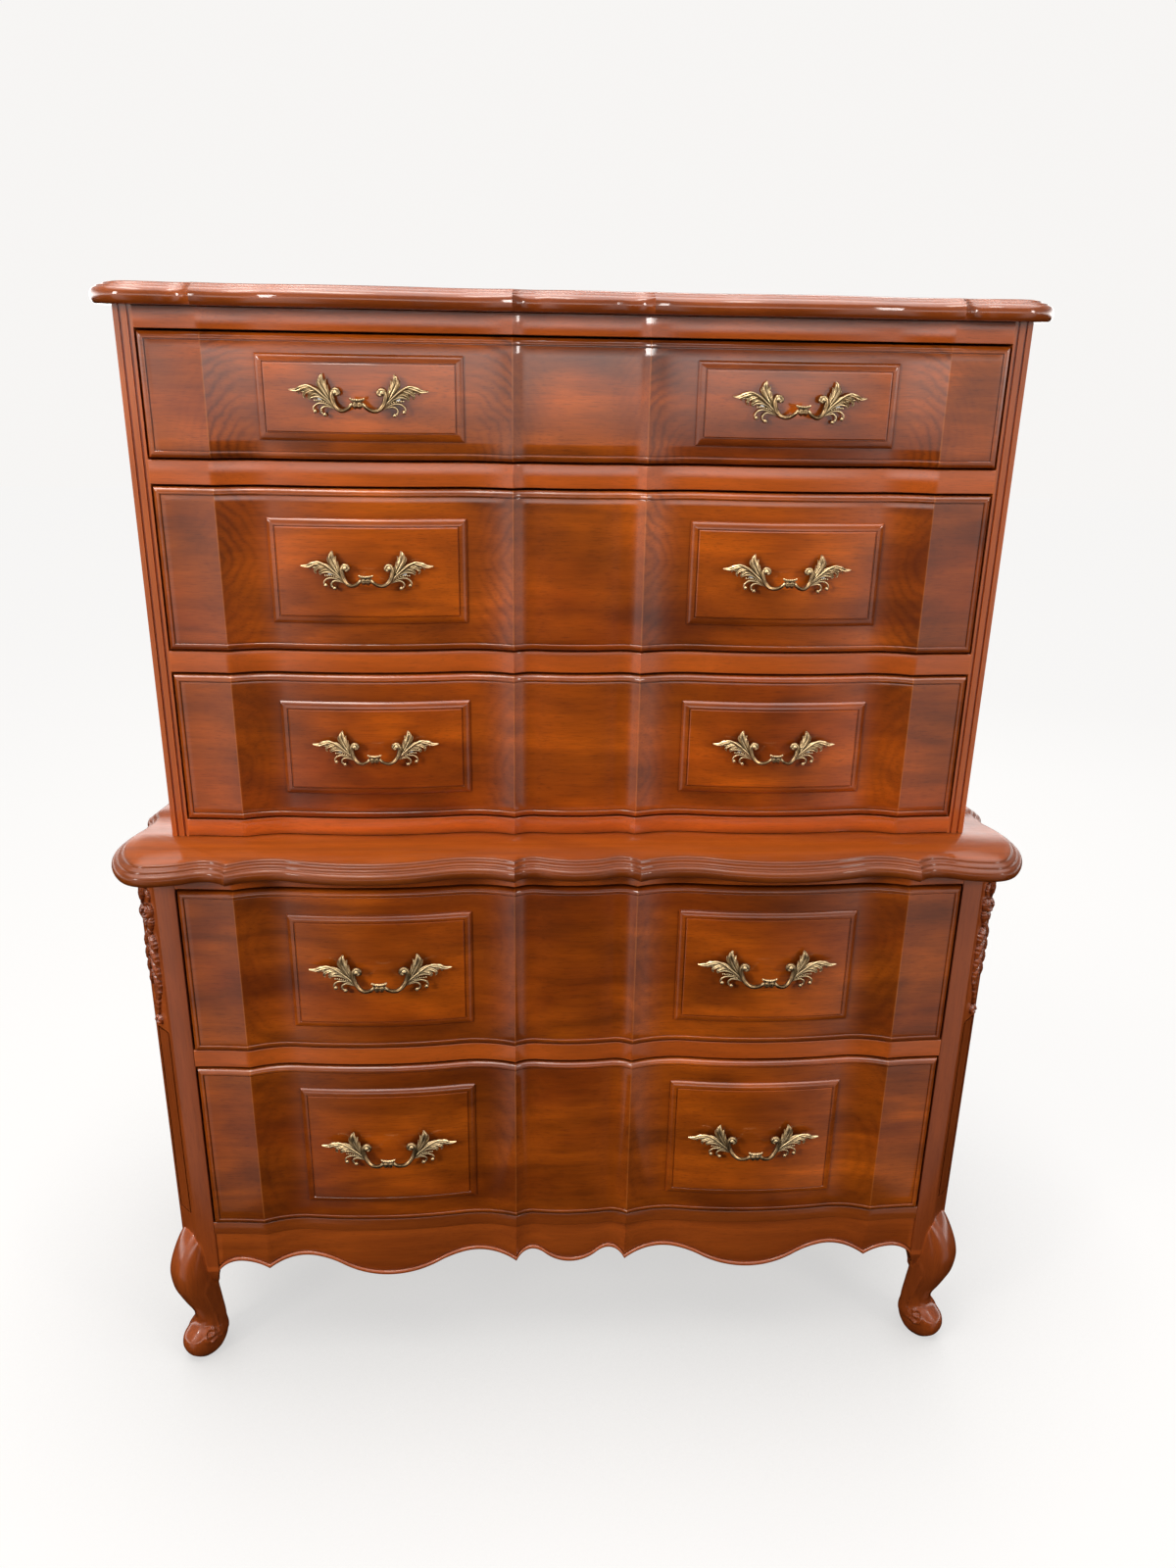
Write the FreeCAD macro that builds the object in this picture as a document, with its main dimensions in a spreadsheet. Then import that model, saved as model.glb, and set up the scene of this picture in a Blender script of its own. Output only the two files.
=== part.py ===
import FreeCAD, Part
import Sketcher
import math
import os

# A French Provincial highboy: a three-drawer upper case on a two-drawer lower case, with
# serpentine fronts, moulded slabs, canted carved corner posts and short cabriole legs.
# Millimetres, +Z up, front towards -Y, origin on the floor at the centre of the plan.

Vector = FreeCAD.Vector
os.makedirs("parts", exist_ok=True)
doc = FreeCAD.newDocument("Highboy")

SIZES = {
    # cases
    "upperWidth": 896, "upperDepth": 417, "upperPostWidth": 18, "upperPostDepth": 45,
    "lowerWidth": 966, "lowerDepth": 469, "lowerPostWidth": 47, "lowerPostDepth": 50,
    "cantWidth": 24, "cantDepth": 24,
    # heights, from the floor up
    "legHeight": 196, "bottomRail": 17, "openingFive": 223, "middleRail": 22,
    "openingFour": 204, "lowerFrieze": 19, "waistThickness": 22, "upperBottomRail": 20,
    "openingThree": 168, "railBelowTwo": 23, "openingTwo": 171, "railBelowOne": 24,
    "openingOne": 122, "upperFrieze": 21, "topThickness": 20,
    # serpentine front: depths are taken back from the foremost line of the wave, and
    # hollowShare says how far along its run from a cusp a hollow is deepest
    "waveReach": 4, "outerBay": 63, "innerCusp": 68,
    "swellShare": 0.52, "hollowShare": 0.3,
    "outerCuspDepth": 0.5, "outerHollow": 9, "swellDepth": 3.5,
    "innerHollow": 11.5, "innerCuspDepth": 3, "centreHollow": 9.5, "centreSwell": 6,
    # moulded slabs: depths are taken in from the slab's foremost or widest line
    "waistReach": 39, "waistEar": 24, "topReach": 35, "topEar": 22,
    "slabOuterCusp": 1, "slabOuterHollow": 15, "slabSwell": 0, "slabInnerHollow": 17,
    "slabInnerCusp": 6, "slabCentreHollow": 18, "slabCentreSwell": 8, "earHollow": 12,
    "earFront": 0, "cornerRadius": 38, "earRadius": 99, "earPlace": 76,
    "notchPlace": 144, "sideCuspPlace": 168,
    "sideNotch": 14, "sideCusp": 8.5, "sideRearHollow": 21, "sideEnd": 14,
    "topSideShare": 0.4, "noseInset": 5, "noseShare": 0.62, "slabStep": 6.5, "treadFall": 1,
    # carcass boards
    "railDepth": 60, "upperSideThickness": 14, "lowerSideThickness": 18,
    "upperSideInset": 4, "lowerSideInset": 16, "backThickness": 6,
    "rearLegWidth": 40, "rearLegDepth": 45, "rearLegInset": 13,
    "apronThickness": 20,
    # reeds on the upper posts, framed panel on the lower posts
    "reedDepth": 2, "reedWidth": 2.5, "outerStrip": 5, "beadWidth": 2.5,
    "frameGroove": 2, "frameMargin": 5, "frameHeight": 256, "frameBase": 28,
    # apron edge, drops below the bottom rail
    "apronEnd": 58, "apronEndArch": 43, "endArchShare": 0.55, "apronOuterCusp": 53,
    "apronArch": 41, "apronSwag": 70, "apronInnerCusp": 53, "apronCentreArch": 40,
    "apronCentreDrop": 58, "sideApronCusp": 45,
    # cabriole legs
    "kneeLength": 30, "kneeWidth": 24, "kneeHeight": 137, "ankleRadius": 19,
    "ankleHeight": 54, "ankleInset": 15, "footLength": 30, "footWidth": 21,
    "footHeight": 30, "footInset": 6,
    # carvings on the canted posts
    "carvingThickness": 6, "carvingWidth": 12, "carvingHeight": 176, "carvingDrop": 12,
    "rosetteRadius": 11, "rosetteThickness": 9, "rosetteDrop": 30, "scrollRadius": 6,
    "leafTaper": 0.15,
    # drawer fronts
    "frontThickness": 20, "drawerGap": 2, "lipWidth": 6, "fieldProud": 4,
    "panelInner": 116, "panelWidth": 203, "panelMargin": 31, "topPanelMargin": 20,
    "panelProud": 4, "panelBevel": 7, "bevelDepth": 3.5, "edgeRound": 1,
    # drawer boxes and runners
    "drawerSide": 12, "boxInset": 6, "boxDrop": 25, "bottomThickness": 5,
    "bottomRise": 9, "grooveDepth": 5, "runClearance": 0.3, "guideClearance": 1,
    "runnerThickness": 14, "runnerShelf": 18, "guideHeight": 12,
    "stopThickness": 12, "stopHeight": 30,
    # pulls and their bolts
    "upperPullWidth": 138, "lowerPullWidth": 162, "boltSpacing": 76,
    "pullStand": 5, "leafThickness": 3, "leafWidth": 12, "bossRadius": 5.5,
    "gripReach": 24, "gripSag": 16, "gripRadius": 3, "knopRadius": 5.5, "knopLength": 14,
    "boltRadius": 2, "boltHeadRadius": 4.5, "boltHeadHeight": 2.5, "fitClearance": 0.1,
    "drillPast": 1,
}

sheet = doc.addObject("Spreadsheet::Sheet", "Sizes")
for row, (alias, value) in enumerate(SIZES.items(), start=1):
    sheet.set(f"A{row}", alias)
    sheet.set(f"B{row}", str(value))
    sheet.setAlias(f"B{row}", alias)
doc.recompute()


class Length:
    """A length together with the spreadsheet expression that gives it."""

    def __init__(self, text, value):
        self.text = text
        self.value = value

    def joined(self, other, sign):
        if not isinstance(other, Length):
            other = Length(repr(other), other)
        value = self.value + other.value if sign == "+" else self.value - other.value
        return Length(f"({self.text} {sign} {other.text})", value)

    def __add__(self, other):
        return self.joined(other, "+")

    def __sub__(self, other):
        return self.joined(other, "-")

    def __mul__(self, factor):
        return Length(f"({self.text} * {factor})", self.value * factor)

    def __neg__(self):
        return self * -1

    def __float__(self):
        return float(self.value)


def size(alias):
    return Length(f"Sizes.{alias}", float(sheet.get(alias)))


def number(alias):
    return float(sheet.get(alias))


# ---- pieces of the document -------------------------------------------------------------

pieces = []


def keep(piece, label):
    """Names a finished piece and puts it on the list that is written out."""
    piece.Label = label
    pieces.append(piece)
    return piece


def shaped_piece(label, shape):
    piece = doc.addObject("Part::Feature", "shaped")
    piece.Shape = shape
    piece.Placement = FreeCAD.Placement()
    return keep(piece, label)


def board(low, high):
    box = doc.addObject("Part::Box", "board")
    for side, start, end in zip(("Length", "Width", "Height"), low, high):
        box.setExpression(side, (end - start).text)
    for axis, start in zip("xyz", low):
        box.setExpression(f"Placement.Base.{axis}", start.text)
    return box


def mirrored(source):
    mirror = doc.addObject("Part::Mirroring", "mirror")
    mirror.Source = source
    mirror.Normal = Vector(1, 0, 0)
    return mirror


def grouped(label, members):
    group = doc.addObject("Part::Compound", "group")
    group.Links = members
    return keep(group, label)


def padded_outline(name, plane, corners, start, length):
    """A body padded from an outline whose every corner is placed from the spreadsheet."""
    body = doc.addObject("PartDesign::Body", name)
    sketch = body.newObject("Sketcher::SketchObject", f"{name}_outline")
    base = [item for item in body.Origin.OriginFeatures if item.Role == plane][0]
    sketch.AttachmentSupport = (base, "")
    sketch.MapMode = "FlatFace"
    sketch.setExpression("AttachmentOffset.Base.z", start.text)
    points = [Vector(float(across), float(up), 0) for across, up in corners]
    for first, second in zip(points, points[1:] + points[:1]):
        sketch.addGeometry(Part.LineSegment(first, second), False)
    for index in range(len(points)):
        following = (index + 1) % len(points)
        sketch.addConstraint(Sketcher.Constraint("Coincident", index, 2, following, 1))
    for index, corner in enumerate(corners):
        for kind, place in zip(("DistanceX", "DistanceY"), corner):
            datum = Sketcher.Constraint(kind, -1, 1, index, 1, float(place))
            sketch.setExpression(f"Constraints[{sketch.addConstraint(datum)}]", place.text)
    pad = body.newObject("PartDesign::Pad", f"{name}_pad")
    pad.Profile = (sketch, [""])
    pad.setExpression("Length", length.text)
    body.Tip = pad
    return body


# ---- places shared by the pieces --------------------------------------------------------

back = (size("lowerDepth") + size("waistReach")) * 0.5
upperFront = back - size("upperDepth")
lowerFront = back - size("lowerDepth")
upperOpening = size("upperWidth") * 0.5 - size("upperPostWidth")
lowerOpening = size("lowerWidth") * 0.5 - size("lowerPostWidth")
upperSideOuter = size("upperWidth") * 0.5 - size("upperSideInset")
lowerSideOuter = size("lowerWidth") * 0.5 - size("lowerSideInset")
upperSideInner = upperSideOuter - size("upperSideThickness")
lowerSideInner = lowerSideOuter - size("lowerSideThickness")
backPanelFront = back - size("backThickness")

STACK = ["bottomRail", "openingFive", "middleRail", "openingFour", "lowerFrieze",
         "waistThickness", "upperBottomRail", "openingThree", "railBelowTwo", "openingTwo",
         "railBelowOne", "openingOne", "upperFrieze", "topThickness"]
level = {}
reached = size("legHeight")
for storey in STACK:
    level[storey] = reached
    reached = reached + size(storey)


class Case:
    """The places that the upper and the lower case give to their rails and drawers."""

    def __init__(self, front, opening, sideInner):
        self.front = front
        self.opening = opening
        self.outerCusp = float(opening - size("outerBay"))
        self.sideInner = sideInner


upper = Case(upperFront, upperOpening, upperSideInner)
lower = Case(lowerFront, lowerOpening, lowerSideInner)


# ---- serpentine lines -------------------------------------------------------------------
# A line is a list of tangent arcs that give a depth at each place along it.

FRONT_WAVE = ["centreSwell", "centreHollow", "innerCuspDepth", "innerHollow",
              "swellDepth", "outerHollow", "outerCuspDepth"]
SLAB_WAVE = ["slabCentreSwell", "slabCentreHollow", "slabInnerCusp", "slabInnerHollow",
             "slabSwell", "slabOuterHollow", "slabOuterCusp"]
APRON_WAVE = ["apronCentreDrop", "apronCentreArch", "apronInnerCusp", "apronArch",
              "apronSwag", "apronArch", "apronOuterCusp"]


class Bow:
    """An arc between two places; side is 1 where it lies beyond its centre, or else -1."""

    def __init__(self, start, end, centre, radius, side):
        self.start, self.end = sorted((start, end))
        self.centre = centre
        self.radius = radius
        self.side = side

    def depth(self, place):
        """Rounded under the root, so that a steep end meets the next arc exactly."""
        across = place - self.centre[0]
        return self.centre[1] + self.side * math.sqrt(round(self.radius ** 2 - across ** 2, 7))

    def cut(self, start, end):
        return Bow(max(self.start, start), min(self.end, end), self.centre, self.radius,
                   self.side)

    def mirror(self):
        return Bow(-self.start, -self.end, (-self.centre[0], self.centre[1]), self.radius,
                   self.side)

    def edge(self, to_point):
        places = (self.start, (self.start + self.end) / 2, self.end)
        return Part.Arc(*[to_point(place, self.depth(place)) for place in places]).toShape()


def radius_through(point, vertex):
    """The radius of the arc that is level at vertex and passes through point."""
    run, rise = point[0] - vertex[0], abs(point[1] - vertex[1])
    return (run ** 2 + rise ** 2) / (2 * rise)


def dip(crest, rest, hollow):
    """Two arcs from a sharp crest through a hollow to a level rest."""
    way = 1 if hollow > crest[1] else -1
    lowest = (crest[0] + number("hollowShare") * (rest[0] - crest[0]), hollow)
    near = radius_through(crest, lowest)
    far = radius_through(rest, lowest) - near
    meeting = lowest[0] + (rest[0] - lowest[0]) * near / (near + far)
    arcs = [Bow(crest[0], meeting, (lowest[0], hollow - way * near), near, way),
            Bow(meeting, rest[0], (rest[0], rest[1] + way * far), far, -way)]
    return sorted(arcs, key=lambda arc: arc.start)


def arch(foot, crown, end):
    """Two arcs that meet level at crown, one from foot and one to end."""
    arcs = []
    for point in (foot, end):
        radius = radius_through(point, crown)
        arcs.append(Bow(point[0], crown[0], (crown[0], crown[1] + radius), radius, -1))
    return arcs


def ease(first, last):
    """Two equal arcs that leave first and arrive at last level."""
    middle = ((first[0] + last[0]) / 2, (first[1] + last[1]) / 2)
    radius = radius_through(middle, first)
    way = 1 if last[1] > first[1] else -1
    arcs = [Bow(first[0], middle[0], (first[0], first[1] + way * radius), radius, -way),
            Bow(middle[0], last[0], (last[0], last[1] - way * radius), radius, way)]
    return sorted(arcs, key=lambda arc: arc.start)


def half_wave(case, aliases):
    """The arcs from the centre out to the outer cusp, with depths from the spreadsheet."""
    centre, centreHollow, innerCusp, innerHollow, swell, outerHollow, outerCusp = [
        number(alias) for alias in aliases]
    inner, outer = number("innerCusp"), case.outerCusp
    crown = inner + number("swellShare") * (outer - inner)
    return (dip((inner, innerCusp), (0, centre), centreHollow)
            + dip((inner, innerCusp), (crown, swell), innerHollow)
            + dip((outer, outerCusp), (crown, swell), outerHollow))


def whole_line(half):
    return [arc.mirror() for arc in reversed(half)] + half


def front_line(case):
    """The whole front, its last arc running from the outer cusp level into the post."""
    cusp = (case.outerCusp, number("outerCuspDepth"))
    post = (float(case.opening), number("waveReach"))
    radius = radius_through(cusp, post)
    tail = Bow(cusp[0], post[0], (post[0], post[1] - radius), radius, 1)
    return whole_line(half_wave(case, FRONT_WAVE) + [tail])


def wave_depth(case, place):
    """How far the front line stands behind its foremost point at a place."""
    return [arc for arc in front_line(case) if arc.start <= place <= arc.end][0].depth(place)


def cut_line(line, start, end):
    """The part of a line between two places."""
    return [arc.cut(start, end) for arc in line if arc.start < end and arc.end > start]


def line_edges(line, to_point):
    """The edges of a line, to_point turning a place and a depth into a point."""
    return [arc.edge(to_point) for arc in line]


def straight_edges(points):
    return [Part.makeLine(start, end) for start, end in zip(points, points[1:])]


def serpentine_face(case, backLine):
    """The plan of a rail or apron between the posts."""
    half, front = float(case.opening), float(case.front)
    foremost = front - number("waveReach")
    edges = line_edges(front_line(case), lambda place, depth: Vector(place, foremost + depth, 0))
    corners = [(half, front), (half, backLine), (-half, backLine), (-half, front)]
    return Part.Face(Part.Wire(edges + straight_edges([Vector(x, y, 0) for x, y in corners])))


def serpentine_rail(label, case, storey):
    """A rail between the posts: the shared plan of its case, extruded to its own height."""
    plan = doc.addObject("Part::Feature", "rail_plan")
    plan.Shape = serpentine_face(case, float(case.front + size("railDepth")))
    rail = doc.addObject("Part::Extrusion", "rail")
    rail.Base = plan
    rail.DirMode = "Custom"
    rail.Dir = Vector(0, 0, 1)
    rail.Solid = True
    rail.setExpression("LengthFwd", size(storey).text)
    rail.setExpression("Placement.Base.z", level[storey].text)
    return keep(rail, label)


serpentine_rail("lower_bottom_rail", lower, "bottomRail")
serpentine_rail("lower_middle_rail", lower, "middleRail")
serpentine_rail("lower_frieze_rail", lower, "lowerFrieze")
serpentine_rail("upper_bottom_rail", upper, "upperBottomRail")
serpentine_rail("upper_rail_below_drawer_2", upper, "railBelowTwo")
serpentine_rail("upper_rail_below_drawer_1", upper, "railBelowOne")
serpentine_rail("upper_frieze_rail", upper, "upperFrieze")


# ---- moulded slabs ----------------------------------------------------------------------

def slab_flank(foremost, share):
    """The side edge from the ear back: a notch, a cusp, a hollow and a level end."""
    ear, notch, cusp = [foremost + number(alias)
                        for alias in ("earPlace", "notchPlace", "sideCuspPlace")]
    notchDepth, cuspDepth, hollow, end = [
        share * number(alias)
        for alias in ("sideNotch", "sideCusp", "sideRearHollow", "sideEnd")]
    return (ease((ear, 0), (notch, notchDepth)) + ease((notch, notchDepth), (cusp, cuspDepth))
            + dip((cusp, cuspDepth), (float(back), end), hollow))


def slab_outline(case, halfWidth, foremost, share, inset, height):
    """The closed edge of a slab, moved inwards by inset.

    The corner is an arc that leaves the front level and runs on into the wider arc of
    the ear, which reaches the slab's full width at earPlace.
    """
    front, side = foremost + inset, halfWidth - inset
    cornerRadius, earRadius = number("cornerRadius") - inset, number("earRadius") - inset
    earCentre = (side - earRadius, number("earPlace") - inset)
    rise = earCentre[1] - number("earFront") - cornerRadius
    run = math.sqrt((earRadius - cornerRadius) ** 2 - rise ** 2)
    level = (earCentre[0] + run, number("earFront"))
    reach = earRadius / (earRadius - cornerRadius)
    meeting = (earCentre[0] + run * reach, earCentre[1] - rise * reach)
    cusp = (case.outerCusp, number("slabOuterCusp"))
    corner = dip(cusp, level, number("earHollow"))
    corner.append(Bow(level[0], meeting[0], (level[0], level[1] + cornerRadius), cornerRadius,
                      -1))
    ear = Bow(front + meeting[1], front + earCentre[1], (front + earCentre[1], earRadius),
              earRadius, -1)

    def on_front(place, depth):
        return Vector(place, front + depth, height)

    def on_right(place, depth):
        return Vector(side - depth, place, height)

    def on_left(place, depth):
        return Vector(depth - side, place, height)

    flank = [ear] + slab_flank(foremost, share)
    end = side - share * number("sideEnd")
    edges = line_edges(whole_line(half_wave(case, SLAB_WAVE) + corner), on_front)
    edges += line_edges(flank, on_right)
    edges += straight_edges([Vector(end, float(back), height), Vector(-end, float(back), height)])
    edges += line_edges(reversed(flank), on_left)
    return Part.Wire(edges)


def slab_profile(thickness):
    """Inset and height of each line of the edge moulding, from the underside up."""
    nose, step, inset = number("noseShare") * thickness, number("slabStep"), number("noseInset")
    return [(inset, 0), (0, 0.4 * nose), (0, 0.7 * nose), (inset, nose),
            (inset + step, nose + number("treadFall")), (inset + 2 * step, thickness)]


def moulded_slab(label, case, halfWidth, reach, storey, share):
    foremost = float(case.front) - reach
    base, thickness = float(level[storey]), number(storey)
    wires = [slab_outline(case, halfWidth, foremost, share, inset, base + height)
             for inset, height in slab_profile(thickness)]
    return shaped_piece(label, Part.makeLoft(wires, True, True))


moulded_slab("waist_slab", lower, number("lowerWidth") / 2 + number("waistEar"),
             number("waistReach"), "waistThickness", 1)
moulded_slab("top_slab", upper, number("upperWidth") / 2 + number("topEar"),
             number("topReach"), "topThickness", number("topSideShare"))


# ---- upper case -------------------------------------------------------------------------

def upper_post():
    """A reeded post: an outer strip, a groove, a flat, a second groove and a bead."""
    face = size("upperWidth") * 0.5
    groove = upperFront + size("reedDepth")
    outerGroove = face - size("outerStrip")
    beadEdge = upperOpening + size("beadWidth")
    rear = upperFront + size("upperPostDepth")
    corners = [(upperOpening, upperFront), (beadEdge, upperFront), (beadEdge, groove),
               (beadEdge + size("reedWidth"), groove),
               (beadEdge + size("reedWidth"), upperFront),
               (outerGroove - size("reedWidth"), upperFront),
               (outerGroove - size("reedWidth"), groove), (outerGroove, groove),
               (outerGroove, upperFront), (face, upperFront), (face, rear),
               (upperOpening, rear)]
    height = level["topThickness"] - level["upperBottomRail"]
    return padded_outline("upper_post", "XY_Plane", corners, level["upperBottomRail"], height)


rightPost = keep(upper_post(), "upper_post_right")
keep(mirrored(rightPost), "upper_post_left")

upperSide = board((upperSideInner, upperFront + size("upperPostDepth"), level["upperBottomRail"]),
                  (upperSideOuter, back, level["topThickness"]))
keep(upperSide, "upper_side_right")
keep(mirrored(upperSide), "upper_side_left")
keep(board((-upperSideInner, backPanelFront, level["upperBottomRail"]),
           (upperSideInner, back, level["topThickness"])), "upper_back_panel")


# ---- lower case -------------------------------------------------------------------------

halfLower = number("lowerWidth") / 2
cantCentre = Vector(halfLower - number("cantWidth") / 2,
                    float(lowerFront) + number("cantDepth") / 2, 0)
cantLength = math.hypot(number("cantWidth"), number("cantDepth"))
outward = Vector(number("cantDepth"), -number("cantWidth"), 0).normalize()
cantTurn = math.degrees(math.atan2(outward.x, -outward.y))


def on_cant(shape):
    """Moves a shape drawn facing -Y at the origin on to the canted face of the right post."""
    placed = shape.copy()
    placed.rotate(Vector(0, 0, 0), Vector(0, 0, 1), cantTurn)
    placed.translate(cantCentre)
    return placed


def lower_post_plan(height):
    innerX, front = float(lowerOpening), float(lowerFront)
    rear = front + number("lowerPostDepth")
    points = [(innerX, front), (halfLower - number("cantWidth"), front),
              (halfLower, front + number("cantDepth")), (halfLower, rear), (innerX, rear)]
    return [Vector(x, y, height) for x, y in points]


def closed_wire(points):
    return Part.makePolygon(points + points[:1])


def ring_points(centre, first, second, sides):
    """The corners of a regular ring round a centre, stretched over two half axes."""
    turns = [2 * math.pi * (step + 0.5) / sides for step in range(sides)]
    return [centre + first * math.cos(turn) + second * math.sin(turn) for turn in turns]


def prism(corners, way):
    return Part.Face(closed_wire(corners)).extrude(way)


def disc(centre, radius, sides, thickness):
    """A many-sided disc that stands forward of its centre."""
    corners = ring_points(centre, Vector(radius, 0, 0), Vector(0, 0, radius), sides)
    return prism(corners, Vector(0, -thickness, 0))


def frame_groove():
    """The grooved frame cut in the canted face above the knee."""
    width = cantLength - 2 * number("frameMargin")
    height, groove = number("frameHeight"), number("frameGroove")
    base = number("legHeight") + number("frameBase")
    outer = Part.makeBox(width, 2 * groove, height, Vector(-width / 2, -groove, base))
    field = Part.makeBox(width - 2 * groove, 4 * groove, height - 2 * groove,
                         Vector(groove - width / 2, -2 * groove, base + groove))
    return on_cant(outer.cut(field))


def leg_section(height, inset, length, width):
    """A many-sided section of the leg, its long axis on the diagonal of the corner."""
    centre = cantCentre - outward * inset + Vector(0, 0, height)
    across = Vector(-outward.y, outward.x, 0)
    return closed_wire(ring_points(centre, outward * length, across * width, 12))


def front_leg():
    """Canted post and cabriole leg in one piece, knee and scroll foot on the diagonal."""
    knee, ankle, foot = number("kneeHeight"), number("ankleHeight"), number("footHeight")
    ankleRadius, ankleInset = number("ankleRadius"), number("ankleInset")
    footInset, footLength, footWidth = [number(alias) for alias in
                                        ("footInset", "footLength", "footWidth")]
    kneeLength, kneeWidth = number("kneeLength"), number("kneeWidth")
    rise, under = knee - ankle, number("legHeight")
    sections = [
        (0, footInset, 0.6 * footLength, 0.7 * footWidth),
        (0.3 * foot, footInset, 0.85 * footLength, 0.95 * footWidth),
        (0.8 * foot, footInset, footLength, footWidth),
        (1.35 * foot, (footInset + ankleInset) / 2, 1.3 * ankleRadius, 1.05 * ankleRadius),
        (ankle, ankleInset, ankleRadius, ankleRadius),
        (ankle + 0.35 * rise, 0.57 * ankleInset, 1.17 * ankleRadius, 1.15 * ankleRadius),
        (ankle + 0.6 * rise, 0.2 * ankleInset, 0.86 * kneeLength, 0.98 * kneeWidth),
        (knee, 0, kneeLength, kneeWidth),
        ((knee + under) / 2, 0.15 * kneeLength, 0.8 * kneeLength, 0.95 * kneeWidth),
        (under, 0.45 * kneeLength, 0.5 * kneeLength, 0.75 * kneeWidth)]
    leg = Part.makeLoft([leg_section(*section) for section in sections], True, True)
    top, foundation = float(level["waistThickness"]), under - number("apronEnd")
    post = Part.Face(closed_wire(lower_post_plan(foundation))).extrude(
        Vector(0, 0, top - foundation))
    centre = cantCentre - outward * ankleInset
    tapered = [Vector((centre.x + corner.x) / 2, (centre.y + corner.y) / 2, ankle + rise / 2)
               for corner in lower_post_plan(0)]
    bracket = Part.makeLoft([closed_wire(tapered), closed_wire(lower_post_plan(foundation))],
                            True, True)
    return post.fuse([bracket, leg]).cut(frame_groove()).removeSplitter()


def corner_carving():
    """A drop of three leaves under a rosette, ending in a small scroll."""
    top = float(level["waistThickness"]) - number("carvingDrop")
    height, half = number("carvingHeight"), number("carvingWidth")
    neck, thickness = number("scrollRadius") / 2, number("carvingThickness")
    leafDrop = height / 3
    edges = []
    for side, orders in ((1, (0, 1, 2)), (-1, (2, 1, 0))):
        for order in orders:
            start = top - leafDrop * order
            belly = half * (1 - number("leafTaper") * order)
            bulge = [(neck, start), (belly, start - leafDrop / 2), (neck, start - leafDrop)]
            edges.append(Part.Arc(*[Vector(side * x, 0, z) for x, z in bulge]).toShape())
        foot = top - height if side == 1 else top
        edges += straight_edges([Vector(side * neck, 0, foot), Vector(-side * neck, 0, foot)])
    outline = Part.Wire(Part.__sortEdges__(edges))
    drop = Part.Face(outline).extrude(Vector(0, -thickness, 0))
    rosette = disc(Vector(0, 0, top - number("rosetteDrop")), number("rosetteRadius"), 12,
                   number("rosetteThickness"))
    scroll = disc(Vector(0, 0, top - height), number("scrollRadius"), 8, thickness)
    return on_cant(drop.fuse([rosette, scroll]).removeSplitter())


rightLeg = shaped_piece("front_leg_right", front_leg())
keep(mirrored(rightLeg), "front_leg_left")
rightCarving = doc.addObject("Part::Feature", "carving")
rightCarving.Shape = corner_carving()
grouped("corner_carvings", [rightCarving, mirrored(rightCarving)])


def front_apron():
    """The shaped band under the bottom rail, scalloped below and serpentine in plan."""
    end, under, drop = float(lowerOpening), number("legHeight"), number("apronEnd")
    crown = lower.outerCusp + number("endArchShare") * (end - lower.outerCusp)
    tail = arch((lower.outerCusp, number("apronOuterCusp")), (crown, number("apronEndArch")),
                (end, drop))
    scallops = whole_line(half_wave(lower, APRON_WAVE) + tail)
    front = float(lowerFront) - number("lowerPostDepth")
    edges = line_edges(scallops, lambda place, depth: Vector(place, front, under - depth))
    corners = [(end, under - drop), (end, under), (-end, under), (-end, under - drop)]
    edges += straight_edges([Vector(x, front, z) for x, z in corners])
    scalloped = Part.Face(Part.Wire(edges)).extrude(Vector(0, 2 * number("lowerPostDepth"), 0))
    depth = 2 * number("apronSwag")
    band = serpentine_face(lower, float(lowerFront) + number("apronThickness"))
    band.translate(Vector(0, 0, under - depth))
    return band.extrude(Vector(0, 0, depth)).common(scalloped)


shaped_piece("front_apron", front_apron())


def lower_side():
    """A side board between the posts, its lower edge cut to an apron."""
    start = float(lowerFront) + number("lowerPostDepth")
    end = float(back) - number("rearLegDepth")
    top, under, inner = float(level["waistThickness"]), number("legHeight"), float(lowerSideInner)
    middle, drop, cusp = (start + end) / 2, number("apronEnd"), number("apronOuterCusp")
    near, far = start + number("sideApronCusp"), end - number("sideApronCusp")
    swag, hollow = number("apronSwag"), number("apronArch")
    scallops = (ease((start, drop), (near, cusp)) + dip((near, cusp), (middle, swag), hollow)
                + dip((far, cusp), (middle, swag), hollow) + ease((far, cusp), (end, drop)))
    edges = line_edges(scallops, lambda place, depth: Vector(inner, place, under - depth))
    corners = [(end, under - drop), (end, top), (start, top), (start, under - drop)]
    edges += straight_edges([Vector(inner, y, z) for y, z in corners])
    return Part.Face(Part.Wire(edges)).extrude(Vector(number("lowerSideThickness"), 0, 0))


rightSide = shaped_piece("lower_side_right", lower_side())
keep(mirrored(rightSide), "lower_side_left")


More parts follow.
